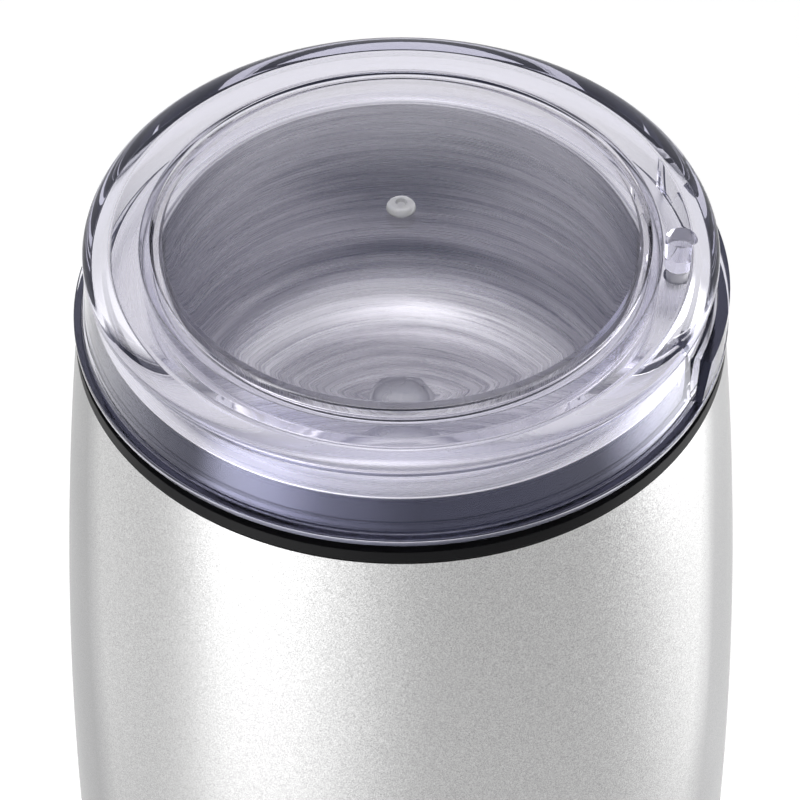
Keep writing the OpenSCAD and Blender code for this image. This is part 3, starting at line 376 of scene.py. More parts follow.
metal("blade_steel", (0.52, 0.52, 0.53), (0.72, 0.72, 0.73), 0.22)
metal("zinc_steel", (0.50, 0.50, 0.50), (0.68, 0.68, 0.66), 0.33)
metal("spring_steel", (0.45, 0.45, 0.46), (0.62, 0.62, 0.63), 0.30)
metal("laminations", (0.13, 0.135, 0.145), (0.26, 0.26, 0.27), 0.50, 1200.0, 0.040, sheet=0.6)
metal("bracket_metal", (0.42, 0.425, 0.43), (0.60, 0.60, 0.61), 0.45, 900.0, 0.020)
metal("brass_sheet", (0.60, 0.42, 0.16), (0.78, 0.60, 0.30), 0.30)
metal("copper_wire", (0.45, 0.15, 0.06), (0.62, 0.28, 0.14), 0.35, 1400.0, 0.015, 0.8)
print("finishes so far:", len(finish))

# %% [markdown]
# ### Clear plastic
# The lid is thick polished plastic. Light bends at each face, and what passes through the thick bead and
# skirt comes out a little darker and bluer, so the plastic also absorbs some light along its way.

# %% Clear plastic
PLASTIC_IOR = 1.53
tree, shader = new_finish("clear_plastic", Transmission_Weight=1.0, IOR=PLASTIC_IOR,
                          Base_Color=(0.96, 0.955, 0.985, 1), Specular_Tint=(0.62, 0.64, 1, 1))
tree.links.new(group(tree, "smudges", Scale=35.0, Low=0.0, High=0.03)["Value"], shader["Roughness"])
tree.links.new(bump(tree, group(tree, "grain", Scale=60.0)["Height"], 0.02), shader["Normal"])
absorbing = add(tree, "ShaderNodeVolumeAbsorption", {"Color": (0.42, 0.41, 0.58, 1), "Density": 65.0})
tree.links.new(absorbing.outputs[0], tree.nodes["Material Output"].inputs["Volume"])
print("clear plastic bends light with an index of", PLASTIC_IOR)

# %% [markdown]
# ## Turning a profile
# Most of the grinder is round, so its pieces are turned from a profile: a closed line of radius and
# height. Real moulded and pressed edges are never perfectly sharp, and it is the small radius on an edge
# that catches the light. `rounded` puts an arc on each corner, and `turn` spins the line into a mesh.

# %% Rounded profiles
def rounded(corners, steps=5):
    """corners are (r, z, radius). Gives the closed line, with an arc where a corner has a radius."""
    line = []
    for i, (r, z, radius) in enumerate(corners):
        here = Vector((r, z))
        if radius <= 0:
            line.append(here)
            continue
        a = Vector(corners[i - 1][:2]) - here
        b = Vector(corners[(i + 1) % len(corners)][:2]) - here
        cut = min(radius / math.tan(a.angle(b) / 2), a.length * 0.45, b.length * 0.45)
        start, end = here + a.normalized() * cut, here + b.normalized() * cut
        for k in range(steps + 1):
            t = k / steps
            line.append(start * (1 - t) ** 2 + here * 2 * t * (1 - t) + end * t ** 2)
    return line


def arc(centre_z, radius, r_from, r_to, steps):
    """Points on a dome whose centre lies on the axis."""
    a, b = math.asin(r_from / radius), math.asin(r_to / radius)
    return [(radius * math.sin(a + (b - a) * k / steps),
             centre_z + radius * math.cos(a + (b - a) * k / steps), 0) for k in range(steps + 1)]


def oval(centre_r, centre_z, wide, high, degrees):
    """Points on an oval, with 0 degrees outward and 90 upward."""
    return [(centre_r + wide * math.cos(math.radians(a)), centre_z + high * math.sin(math.radians(a)), 0)
            for a in degrees]


# %% Meshes from rings of points
SAME_POINT = 1e-8                                # metres
ON_AXIS = 1e-4                                   # mm


def made_object(name, bm):
    """Closes a bmesh into an object of its own, with its faces outward."""
    bmesh.ops.remove_doubles(bm, verts=bm.verts, dist=SAME_POINT)
    bmesh.ops.recalc_face_normals(bm, faces=bm.faces)
    mesh = bpy.data.meshes.new(name)
    bm.to_mesh(mesh)
    bm.free()
    obj = bpy.data.objects.new(name, mesh)
    scene.collection.objects.link(obj)
    return obj


def turn(name, line, segments=160):
    """A solid of revolution about Z from a closed line of (r, z) points in mm."""
    bm = bmesh.new()
    rings = []
    for r, z in line:
        angles = [2 * math.pi * k / segments for k in range(1 if r < ON_AXIS else segments)]
        rings.append([bm.verts.new((r * MM * math.cos(a), r * MM * math.sin(a), z * MM))
                      for a in angles])
    for i, low in enumerate(rings):
        high = rings[(i + 1) % len(rings)]
        for k in range(segments if len(low) + len(high) > 2 else 0):
            m = (k + 1) % segments
            corners = [low[k % len(low)], high[k % len(high)], high[m % len(high)], low[m % len(low)]]
            bm.faces.new(list(dict.fromkeys(corners)))
    return made_object(name, bm)


def loft(name, sections):
    """A solid with flat ends through sections, each a list of as many (x, y, z) points in mm."""
    bm = bmesh.new()
    rows = [[bm.verts.new([c * MM for c in point]) for point in section] for section in sections]
    for low, high in zip(rows, rows[1:]):
        for k in range(len(low)):
            m = (k + 1) % len(low)
            bm.faces.new((low[k], low[m], high[m], high[k]))
    bm.faces.new(rows[0][::-1])
    bm.faces.new(rows[-1])
    return made_object(name, bm)


# %% [markdown]
# A Boolean joins a small piece to a large one, or cuts a hole. It can leave slivers, so each finished
# piece is cleaned. It then gets smooth shading with crisp edges, its finish, and its place in the frame:
# the body it moves with, and the solid it stands for.

# %% Cut, join and finish a piece
def baked(obj):
    """Turns the piece and its modifiers into a plain mesh."""
    graph = bpy.context.evaluated_depsgraph_get()
    mesh = bpy.data.meshes.new_from_object(obj.evaluated_get(graph), depsgraph=graph)
    obj.modifiers.clear()
    obj.data = mesh
    mesh.name = obj.name
    return obj


def combine(obj, tool, operation):
    """Joins the tool to the piece, or cuts it out, or keeps what they share."""
    change = obj.modifiers.new(operation.lower(), "BOOLEAN")
    change.operation, change.object, change.solver = operation, tool, "EXACT"
    baked(obj)
    bpy.data.objects.remove(tool)


def softened(obj, width, angle=40.0, segments=2):
    """Small round edges."""
    soft = obj.modifiers.new("soft", "BEVEL")
    soft.width, soft.segments = width * MM, segments
    soft.limit_method, soft.angle_limit = "ANGLE", math.radians(angle)
    return baked(obj)


NEAR = 0.003 * MM


def cleaned(obj):
    """Cuts and bevels can leave faces without area. This merges what lies nearer than NEAR."""
    bm = bmesh.new()
    bm.from_mesh(obj.data)
    bmesh.ops.remove_doubles(bm, verts=bm.verts, dist=NEAR)
    bmesh.ops.dissolve_degenerate(bm, edges=bm.edges, dist=NEAR)
    bmesh.ops.triangulate(bm, faces=[face for face in bm.faces if len(face.verts) > 4])
    bmesh.ops.dissolve_degenerate(bm, edges=bm.edges, dist=NEAR)
    bmesh.ops.delete(bm, geom=[vert for vert in bm.verts if not vert.link_faces], context="VERTS")
    bm.to_mesh(obj.data)
    bm.free()


def finished(obj, body, slot, *stands_for, angle=32):
    """Smooth shading that stays crisp at real edges, and a place in the frame."""
    cleaned(obj)
    obj.data.shade_smooth()
    obj.data.set_sharp_from_angle(angle=math.radians(angle))
    obj.data.materials.clear()
    obj.data.materials.append(finish[slot])
    if body:
        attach(obj, body)
    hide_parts(*stands_for)
    print(obj.name, "has", len(obj.data.polygons), "faces, and moves with", body or "two bodies")


# %% [markdown]
# ## Clear lid
# The lid is one injection moulding: a domed window, a fine groove round it, a fat rounded bead, and a
# skirt that ends in a thin flange. Turning one profile gives all of these at once.

# %% Turn the lid
BEAD_Z = 182.0
DOME_R = 118.57
DOME_Z = BEAD_Z + 7.0 - DOME_R
LID_WALL = 2.0
FINE = 192                                       # points round the largest pieces
window_top = arc(DOME_Z, DOME_R, 0, 34.4, 40)[:-1]
groove = [(34.4, 183.9, 0.15), (34.9, 183.1, 0.12), (35.7, 183.1, 0.12), (36.2, 184.0, 0.2)]
bead = oval(41.7, 181.7, 4.3, 2.5, range(90, -1, -5))
skirt_outside = [(45.85, 181.0, 0.2), (45.5, 180.4, 0.3), (46.7, 170.4, 0.25), (47.9, 170.4, 0.3),
                 (47.9, 169.3, 0.15), (45.3, 169.3, 0.2)]
skirt_inside = [(44.9, 170.0, 0.3), (43.7, 179.8, 0.8), (42.1, 182.0, 0.8), (37.7, 182.0, 0.35)]
inner_rib = [(37.6, 177.0, 0.45), (36.2, 177.0, 0.45), (36.1, 181.4, 0.3)]
window_below = arc(DOME_Z, DOME_R - LID_WALL, 0, 33.6, 40)[::-1]
outside = window_top + groove + bead + skirt_outside
inside = skirt_inside + inner_rib + window_below
clear_lid = turn("clear_lid", rounded(outside + inside), FINE)

# %% [markdown]
# The lid's features are joined on: a raised lug on the right of the skirt, two ribs that keep the lid
# from turning, and the finger that presses the switch rod.

# %% Add the lid's features
LUG_ANGLE = 27                                   # degrees, from the lug's middle to its end
ROD_X = 40.4
FINGER_R = 2.2


def wedge(name, r_in, r_out, low, high, steps=24):
    """A curved block. low and high are (z, half angle) pairs, so its ends can lean."""
    sections = []
    for k in range(steps + 1):
        share = 2 * k / steps - 1
        section = []
        for r, (z, half) in ((r_in, low), (r_out, low), (r_out, high), (r_in, high)):
            a = math.radians(half * share)
            section.append((r * math.cos(a), r * math.sin(a), z))
        sections.append(section)
    return loft(name, sections)


def peg(name, x, radius, z0, z1):
    """An upright round peg with a soft top edge."""
    obj = turn(name, rounded([(0, z0, 0), (radius, z0, 0), (radius, z1, radius / 5), (0, z1, 0)]), 48)
    obj.data.transform(Matrix.Translation((x * MM, 0, 0)))
    return obj


combine(clear_lid, wedge("lug", 45.4, 47.8, (169.3, LUG_ANGLE), (175.8, 22.5)), "UNION")
combine(clear_lid, peg("finger", ROD_X, FINGER_R, 176.9, 183.2), "UNION")
for side in (-1, 1):
    rib = wedge("guide_rib", 43.3, 44.9, (170.8, 0.75), (180.0, 0.75), 2)
    rib.data.transform(Matrix.Rotation(math.radians(side * LUG_ANGLE), 4, "Z"))
    combine(clear_lid, rib, "UNION")
finished(clear_lid, "lid", "clear_plastic", "lid")

# %% [markdown]
# In the middle of the window stands the mark of the mould's gate, where the hot plastic came in. It is a
# low round drop with a dimple. Its skin is duller than the polished window, so it has its own finish,
# which spreads some of the light that goes through it.

# %% Gate mark and its finish
tree, shader = new_finish("gate_plastic", Transmission_Weight=0.65, IOR=1.5)
skin = group(tree, "grain", Scale=1500.0)
tree.links.new(mixed(tree, skin["Speck"], (0.88, 0.88, 0.93), (0.99, 0.99, 1.0)), shader["Base Color"])
tree.links.new(group(tree, "smudges", Scale=900.0, Low=0.05, High=0.22)["Value"], shader["Roughness"])
tree.links.new(bump(tree, skin["Height"], 0.02), shader["Normal"])
foot_of_drop = [(0, 188.75, 0), (2.15, 188.75, 0)]
dimple = [(0.6, 189.5, 0.15), (0, 189.4, 0)]
drop = oval(0.85, 188.9, 1.3, 1.09, range(0, 91, 6))
gate_mark = turn("gate_mark", rounded(foot_of_drop + drop + dimple), 64)
finished(gate_mark, "lid", "clear_plastic", "lid")
gate_mark.data.materials[0] = finish["gate_plastic"]

# %% [markdown]
# ## Steel bowl
# The bowl is drawn from thin sheet: a rolled lip that stands up inside the lid, a flat rim that rests on
# the collar, a straight wall, and a wide corner radius down to a flat floor with a hole for the shaft.

# %% Turn the bowl
CORNER_R, CORNER_Z = 22.8, 151.6                 # the centre of the corner's round
OUTSIDE, INSIDE = 12.7, 12.0
ROD_HOLE_R = 2.2


def quarter(radius, steps=14):
    """The bowl's corner, from the floor up to the wall."""
    return [(CORNER_R + radius * math.sin(math.radians(90 * k / steps)),
             CORNER_Z - radius * math.cos(math.radians(90 * k / steps)), 0) for k in range(steps + 1)]


rim = [(35.5, 174.0, 0.3), (43.0, 174.0, 0.1), (43.0, 174.7, 0.1), (35.5, 174.7, 0.6)]
lip = [(35.5, 177.6, 0.34), (34.8, 177.6, 0.34)]
steel_bowl = turn("steel_bowl", rounded([(6.5, 138.9, 0.2)] + quarter(OUTSIDE) + rim + lip
                                        + quarter(INSIDE)[::-1] + [(6.5, 139.6, 0.2)]), FINE)
combine(steel_bowl, peg("rod_hole", ROD_X, ROD_HOLE_R, 173, 176), "DIFFERENCE")
finished(steel_bowl, "housing", "bowl_steel", "bowl")

# %% [markdown]
# ## Blade and nut
# The blade is a flat steel bar whose two arms bend up by different angles, so that they stir the whole
# bowl. Each arm is ground to an edge on the side that leads as it turns. The blade is lofted through
# cross-sections set along the bent bar. The nut is a hexagon cut by a cone, with a cap on top.

# %% Loft the blade
BLADE_Z, BLADE_T = 144.3, 1.4
BEND_AT, BEND_LENGTH = 15, 2                     # along the bar, from its middle
GRIND_AT, GRIND_RUN_IN = 8, 2
GRIND_WIDTH, GRIND_DEPTH = 2.3, 1.15
HALF_WIDTH, TAPER, TAPER_END = 6, 1.5, 16
TIP_CUT = 2.5
STEPS = 20                                       # to the millimetre, along the bent bar


def lean_at(reach, bend):
    """How far the bar leans up at this reach, in radians."""
    return math.radians(bend * min(max((reach - BEND_AT) / BEND_LENGTH, 0), 1))


def blade_section(u):
    """Cross-section at the distance u along the bar: negative on the arm at -X, positive at +X."""
    side, bend = (1, 26) if u > 0 else (-1, 12)
    reach = abs(u)
    x = z = 0.0
    for k in range(int(reach * STEPS)):
        lean = lean_at(k / STEPS, bend)
        x, z = x + math.cos(lean) / STEPS, z + math.sin(lean) / STEPS
    half = HALF_WIDTH - TAPER * min(reach, TAPER_END) / TAPER_END
    end = TAPER_END + 10 / math.cos(math.radians(bend))
    back = half - max(0.0, TIP_CUT - (end - reach))
    ground = min(max((reach - GRIND_AT) / GRIND_RUN_IN, 0.08), 1)
    lead = [(half - GRIND_WIDTH * ground, BLADE_T), (half, BLADE_T - GRIND_DEPTH * ground), (half, 0)]
    trail = [(-back, 0), (-back, BLADE_T - 0.1), (-back + 0.1, BLADE_T)]
    line = trail + lead if side > 0 else (trail + lead)[::-1]
    lean = lean_at(reach, bend)
    return [(side * (x - math.sin(lean) * h), side * y, BLADE_Z + z + math.cos(lean) * h)
            for y, h in line]


arm_a = [GRIND_AT + k * 0.5 for k in range(39)] + [27.1]
arm_b = [GRIND_AT + k * 0.5 for k in range(37)] + [26.2]
stations = [-u for u in arm_b[::-1]] + [-6, -4, -2, -0.2, 0.2, 2, 4, 6] + arm_a
ground_blade = loft("ground_blade", [blade_section(u) for u in stations])
combine(ground_blade, peg("shaft_hole", 0, 3.1, 140, 148), "DIFFERENCE")
finished(ground_blade, "rotor", "blade_steel", "blade", angle=20)

# %% Cut the nut
cap_nut = turn("cap_nut", [(0, 146.5), (5.77, 146.5), (5.77, 149.9), (0, 149.9)], 6)
cone = [(0, 146.5), (5.2, 146.5), (5.9, 146.9), (5.9, 149.4), (4.9, 149.9), (0, 149.9)]
combine(cap_nut, turn("chamfer", cone, 96), "INTERSECT")
cap = [(0, 149.5, 0), (4.4, 149.5, 0)] + oval(0, 150.1, 4.4, 0.98, range(0, 90, 10)) + [(0, 151.08, 0)]
combine(cap_nut, turn("cap", rounded(cap), 96), "UNION")
finished(cap_nut, "rotor", "blade_steel", "blade_nut")

# %% [markdown]
# ## Barrel shell
# The shell's outline follows a rule: it is widest at the belly and narrows with the square of the
# distance from it. A rule is what Geometry Nodes are good at, so the tree below bends a flat grid into
# the barrel, with its sizes as named inputs. Solidify then gives it a wall, and Bevel its soft edges.
# Every geometry tree here begins with `shape_tree`, which names its inputs, and ends with `coated`.

# %% Grow an object from a geometry tree
def shape_tree(name, takes_mesh=False, **numbers):
    """A geometry tree with number inputs and their defaults, a material, and a mesh if it takes one."""
    inputs = [("Geometry", "Geometry")] if takes_mesh else []
    for label, value in numbers.items():
        inputs.append((label, "Int" if isinstance(value, int) else "Float", value))
    inputs.append(("Material", "Material"))
    return new_tree("GeometryNodeTree", name, inputs, [("Geometry", "Geometry")])


def coated(tree, geometry, material, made):
    """Ends a tree: real meshes in place of instances, with their material."""
    real = add(tree, "GeometryNodeRealizeInstances", {0: geometry}).outputs[0]
    whole = add(tree, "GeometryNodeSetMaterial", {0: real, "Material": material}).outputs[0]
    tree.links.new(whole, made[0])
    return tree


def with_tree(obj, tree, **values):
    """Puts a tree on an object. Each input is found by its name, and set by its socket's identifier."""
    change = obj.modifiers.new(tree.name, "NODES")
    change.node_group = tree
    for item in tree.interface.items_tree:
        if item.in_out == "INPUT" and item.name in values:
            change[item.identifier] = values[item.name]
    return obj


def grown(name, tree, mesh=None, **values):
    """An object that the tree makes or changes, as a plain mesh."""
    obj = bpy.data.objects.new(name, mesh or bpy.data.meshes.new(name))
    scene.collection.objects.link(obj)
    return baked(with_tree(obj, tree, **values))


def index(tree):
    """The number of each point, counted from 0."""
    return add(tree, "GeometryNodeInputIndex").outputs[0]


def polar(tree, radius, angle, z=0.0):
    """The place at a radius, an angle round the axis and a height."""
    x, y = (times(tree, maths(tree, wave, angle), radius) for wave in ("COSINE", "SINE"))
    return joined(tree, x, y, z)


# %% The barrel's rule
def make_barrel():
    tree, given, made = shape_tree("barrel", Bottom=0.0, Top=0.16, Belly=0.07, Belly_Radius=0.05,
                                   Top_Radius=0.045, Around=193, Rings=60)
    grid = add(tree, "GeometryNodeMeshGrid", {0: 1.0, 1: 1.0, 2: given["Around"], 3: given["Rings"]})
    x, y, _ = split(tree, add(tree, "GeometryNodeInputPosition").outputs[0])
    z = spread(tree, y, given["Bottom"], given["Top"], -0.5, 0.5)
    share = spread(tree, z, 0.0, 1.0, given["Belly"], given["Top"])
    share.node.clamp = False
    narrowing = times(tree, share, share)
    radius = spread(tree, narrowing, given["Belly_Radius"], given["Top_Radius"], 0.0, 1.0)
    place = polar(tree, radius, times(tree, x, 2 * math.pi), z)
    bent = add(tree, "GeometryNodeSetPosition", {0: grid.outputs[0], "Position": place})
    closed = add(tree, "GeometryNodeMergeByDistance", {0: bent.outputs[0]})
    return coated(tree, closed.outputs[0], given["Material"], made)


# %% Grow the barrel
BELLY_ABOVE_FOOT = 64
low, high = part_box("body_shell")
painted_shell = grown("painted_shell", make_barrel(), Bottom=low.z, Top=high.z,
                      Belly=low.z + BELLY_ABOVE_FOOT * MM, Belly_Radius=high.x - 0.02 * MM,
                      Top_Radius=47.78 * MM, Around=193, Rings=64, Material=finish["silver_paint"])
print("barrel from", round(low.z / MM, 1), "to", round(high.z / MM, 1), "mm, belly radius",
      round(high.x / MM, 1))

# %% Its wall, the hole for the cord's bush, and soft edges
SHELL_WALL = 2
BUSH_Y, BUSH_Z = 51.6, 15.6
wall = painted_shell.modifiers.new("wall", "SOLIDIFY")
wall.thickness, wall.offset, wall.use_even_offset = SHELL_WALL * MM, -1, True
baked(painted_shell)
hole = turn("cord_hole", [(0, -8), (5.0, -8), (5.0, 8), (0, 8)], 48)
hole.data.transform(Matrix.Translation((0, BUSH_Y * MM, BUSH_Z * MM))
                    @ Matrix.Rotation(math.radians(90), 4, "X"))
combine(painted_shell, hole, "DIFFERENCE")
finished(softened(painted_shell, 0.5, 50, 3), "housing", "silver_paint", "body_shell")

# %% [markdown]
# ## Pieces that repeat round the axis
# Feet, base screws, fan blades and commutator bars are each one small piece, repeated round the axis. One
# tree places any of them: it takes the piece's own mesh, a count, a radius and a starting angle.

# %% A tree that repeats a piece
def make_ring():
    tree, given, made = shape_tree("round_the_axis", True, Count=4, Radius=0.0, Start=0.0)
    angle = times(tree, index(tree), maths(tree, "DIVIDE", 2 * math.pi, given["Count"]))
    place = polar(tree, given["Radius"], angle)
    points = add(tree, "GeometryNodePoints", {"Count": given["Count"], "Position": place}).outputs[0]
    copies = {0: points, 2: given["Geometry"], 5: joined(tree, 0.0, 0.0, angle)}
    placed = add(tree, "GeometryNodeInstanceOnPoints", copies).outputs[0]
    start = joined(tree, 0.0, 0.0, given["Start"])
    whole = add(tree, "GeometryNodeTransform", {0: placed, "Rotation": start})
    return coated(tree, whole.outputs[0], given["Material"], made)


ring_tree = make_ring()


def ringed(name, piece, slot, count, radius=0.0, start=0.0):
    """Repeats a piece round the axis, and removes the single one."""
    obj = grown(name, ring_tree, piece.data.copy(), Count=count, Radius=radius * MM,
                Start=math.radians(start), Material=finish[slot])
    bpy.data.objects.remove(piece)
    return obj


# %% [markdown]
# ### Feet and base screws
# The grinder stands on four rubber feet with two raised rings underneath, and four screws hold the base.
# Both are turned profiles. Only the cross recess isn't round, so two short bars cut it out of the head.

# %% Feet with a tread, and base screws with a cross recess
tread = [(0, 0.3, 0), (1.4, 0.3, 0.1), (1.8, 0, 0.1), (3.0, 0, 0.1), (3.3, 0.35, 0.1), (3.7, 0.35, 0.1),
         (4.0, 0, 0.1), (5.4, 0, 0.2)]
foot = turn("foot", rounded(tread + [(6.0, 0.7, 0.4), (6.0, 3.2, 0.1), (0, 3.2, 0)]), 64)
finished(ringed("rubber_feet", foot, "black_rubber", 4, 39.04), "housing", "black_rubber", "feet")
head = [(0, 2.1, 0), (2.0, 2.1, 0.6), (2.9, 2.9, 0.3), (2.9, 3.7, 0.1)]
shank = [(1.25, 3.7, 0), (1.25, 15.2, 0.1), (0.6, 15.7, 0), (0, 15.7, 0)]
screw = turn("screw", rounded(head + shank), 48)
across_slot = [(-1.8, -0.35), (1.8, -0.35), (1.8, 0.35), (-1.8, 0.35)]
for angle in (0, 90):
    slot = loft("slot", [[(x, y, z) for x, y in across_slot] for z in (1.9, 3.0)])
    slot.data.transform(Matrix.Rotation(math.radians(angle), 4, "Z"))
    combine(screw, slot, "DIFFERENCE")
screws = ringed("cross_screws", screw, "zinc_steel", 4, 41.04, 45)
finished(screws, "housing", "zinc_steel", "base_screws")

# %% [markdown]
# ### Cooling fan
# Nine blades hang under a thin plate and throw the air outward. One is lofted through upright sections
# that sweep back, as a moulded blade does. The ring of blades is then joined to a turned hub and plate.

# %% Cooling fan with curved blades
FAN_HUB, FAN_REACH = 5, 13.5
FAN_SWEEP, FAN_LEAN = 0.45, 0.3                  # radians
FAN_HALF_THICK = 0.45


def fan_section(r):
    """A fan blade's upright section at a radius. The blade sweeps back as it goes out."""
    a = -FAN_SWEEP * ((r - FAN_HUB) / FAN_REACH) ** 1.5
    across = Vector((-math.sin(a - FAN_LEAN), math.cos(a - FAN_LEAN))) * FAN_HALF_THICK
    return [(r * math.cos(a) + s * across.x, r * math.sin(a) + s * across.y, z)
            for s, z in ((-1, 118.8), (1, 118.8), (1, 122.6), (-1, 122.6))]


fan_blade = loft("fan_blade", [fan_section(FAN_HUB + FAN_REACH * k / 12) for k in range(13)])
hub = [(3.1, 118.8, 0.1), (6.0, 118.8, 0.3), (6.0, 122.0, 0.4)]
plate = [(19.0, 122.0, 0.3), (19.0, 123.0, 0.3), (3.1, 123.0, 0.1)]
fan_blades = ringed("fan_blades", fan_blade, "black_plastic", 9)
moulded_fan = turn("moulded_fan", rounded(hub + plate), 96)
combine(moulded_fan, fan_blades, "UNION")
finished(moulded_fan, "rotor", "black_plastic", "cooling_fan")

# %% [markdown]
# ### Commutator
# The brushes rub on a ring of separate copper bars with fine gaps. A bar is lofted in short steps round
# the axis, with a raised end for the winding at its top, and 24 of them stand round a moulded core.

# %% Commutator: copper bars on a moulded core
bar_line = [(8.7, 58.3), (10.5, 58.3), (10.5, 68.7), (11.0, 68.7), (11.0, 70.2), (8.7, 70.2)]
bar_turns = [math.radians(6.3 * share) for share in (-1, -0.5, 0, 0.5, 1)]
bar = loft("bar", [[(r * math.cos(a), r * math.sin(a), z) for r, z in bar_line] for a in bar_turns])
bars = ringed("commutator_bars", softened(bar, 0.08), "copper_bars", 24)
finished(bars, "rotor", "copper_bars", "commutator")
core_line = [(3.1, 58.5, 0.1), (8.9, 58.5, 0.2), (8.9, 70.0, 0.2), (3.1, 70.0, 0.1)]
core = turn("commutator_core", rounded(core_line), 96)
finished(core, "rotor", "brown_plastic", "commutator")

# %% [markdown]
# ## Wound wire
# Each field coil is one long wire, wound back and forth across the coil and outward layer by layer. The
# tree turns a straight line of points into that path by counting turns, then sweeps a round wire along.

# %% Sweep a wire along a path
def swept(tree, points, path, wire):
    """Moves a line of points onto a path, and gives it a round section."""
    line = add(tree, "GeometryNodeMeshLine", {0: points})
    wound = add(tree, "GeometryNodeSetPosition", {0: line.outputs[0], "Position": path})
    curve = add(tree, "GeometryNodeMeshToCurve", {0: wound.outputs[0]})
    outline = add(tree, "GeometryNodeCurvePrimitiveCircle",
                  {"Resolution": 8, "Radius": times(tree, wire, 0.5)})
    sweep = {0: curve.outputs[0], 1: outline.outputs[0], "Fill Caps": True}
    return add(tree, "GeometryNodeCurveToMesh", sweep).outputs[0]


# %% A tree that winds a coil
def make_coil():
    tree, given, made = shape_tree("wound_coil", Width=0.02, Height=0.03, Wire=0.001, Turns=4, Layers=8,
                                   Steps=44)
    wire, turns = given["Wire"], given["Turns"]
    at = maths(tree, "DIVIDE", index(tree), given["Steps"])
    angle = times(tree, at, 2 * math.pi)
    done = maths(tree, "FLOOR", maths(tree, "DIVIDE", at, turns))
    layer = times(tree, maths(tree, "ADD", done, 0.5), wire)
    across = times(tree, maths(tree, "PINGPONG", at, turns), wire)
    middle = times(tree, turns, 0.5, wire)
    sides = []
    for wave, size in (("COSINE", "Width"), ("SINE", "Height")):
        turned = maths(tree, wave, angle)
        squared = maths(tree, "POWER", maths(tree, "ABSOLUTE", turned), 0.4)
        reach = maths(tree, "ADD", times(tree, given[size], 0.5), layer)
        sides.append(times(tree, squared, maths(tree, "SIGN", turned), reach))
    path = joined(tree, maths(tree, "SUBTRACT", across, middle), *sides)
    points = times(tree, turns, given["Layers"], given["Steps"])
    return coated(tree, swept(tree, points, path, wire), given["Material"], made)


coil = grown("coil", make_coil(), Width=18.8 * MM, Height=33 * MM, Wire=0.83 * MM, Turns=4, Layers=9,
             Steps=44, Material=finish["copper_wire"])
coil.data.transform(Matrix.Translation((0, 0, 94 * MM)))
coils = ringed("wound_coils", coil, "copper_wire", 2, 18.75, 90)
finished(coils, "housing", "copper_wire", "field_coils", angle=70)

# %% [markdown]
# ## Return spring
# The spring stands on the deck and pushes the rod up, so its foot stays with the housing while its head
# goes down with the rod. It is a helix with one closed turn at each end.

# %% A tree that coils a spring
def make_spring():
    tree, given, made = shape_tree("coil_spring", Bottom=0.0, Top=0.02, Radius=0.003, Wire=0.0006,
                                   Turns=8, Steps=32)
    wire = given["Wire"]
    at = maths(tree, "DIVIDE", index(tree), given["Steps"])
    last = maths(tree, "SUBTRACT", given["Turns"], 1.0)
    height = maths(tree, "SUBTRACT", given["Top"], given["Bottom"])
    room = maths(tree, "SUBTRACT", height, times(tree, wire, 3.0))
    start = maths(tree, "ADD", given["Bottom"], times(tree, wire, 0.5))
    first_turn = times(tree, maths(tree, "MINIMUM", at, 1.0), wire)
    open_turns = spread(tree, at, 0.0, room, 1.0, last)
    last_turn = times(tree, maths(tree, "MAXIMUM", maths(tree, "SUBTRACT", at, last), 0.0), wire)
    z = maths(tree, "ADD", maths(tree, "ADD", start, first_turn),
              maths(tree, "ADD", open_turns, last_turn))
    path = polar(tree, given["Radius"], times(tree, at, 2 * math.pi), z)
    points = maths(tree, "ADD", times(tree, given["Turns"], given["Steps"]), 1.0)
    return coated(tree, swept(tree, points, path, wire), given["Material"], made)


low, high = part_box("rod_spring")
return_spring = grown("return_spring", make_spring(), Bottom=low.z, Top=high.z, Radius=2.4 * MM,
                      Wire=0.6 * MM, Turns=8, Steps=32, Material=finish["spring_steel"])
return_spring.data.transform(Matrix.Translation((ROD_X * MM, 0, 0)))
finished(return_spring, None, "spring_steel", "rod_spring", angle=70)
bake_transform(return_spring)

# %% [markdown]
# ## Inner pieces
# The other pieces keep their solids. A small tree welds their loose triangles and marks the real edges
# as sharp, so that round faces look round and flat ones stay flat. Each takes its finish by its slot.

# %% Weld and smooth the frame's own solids
def make_weld():
    tree, given, made = shape_tree("welded", True, Edge_Angle=math.radians(32))
    weld = add(tree, "GeometryNodeMergeByDistance", {0: given["Geometry"], "Distance": 0.002 * MM})
    smooth = add(tree, "GeometryNodeSetShadeSmooth", {0: weld.outputs[0]}, domain="FACE").outputs[0]
    angle = add(tree, "GeometryNodeInputMeshEdgeAngle").outputs[0]
    sharp = add(tree, "FunctionNodeCompare", {0: angle, 1: given["Edge_Angle"]}, data_type="FLOAT",
                operation="GREATER_THAN").outputs[0]
    edges = {0: smooth, "Selection": sharp, "Shade Smooth": False}
    crisp = add(tree, "GeometryNodeSetShadeSmooth", edges, domain="EDGE")
    return coated(tree, crisp.outputs[0], given["Material"], made)


weld_tree = make_weld()
slot_of = {part["node"]: part["material_slot"] for part in frame["record"]["subparts"]}
kept = [name for name, obj in nodes.items() if not obj.hide_render]
for name in kept:
    nodes[name].data.materials.clear()
    nodes[name].data.materials.append(finish[slot_of[name]])
    with_tree(nodes[name], weld_tree, Material=finish[slot_of[name]])
print(len(kept), "solids keep their shape")

# %% [markdown]
# ## Studio
# The grinder stands on a pale floor in a white room. The world is white to the camera, to mirrors and to
# clear plastic, and it gives matt surfaces a plain grey light. Three tall lamps close by give the barrel
# its long highlights, two more light the lid from its sides, and a large one overhead lights the bowl.

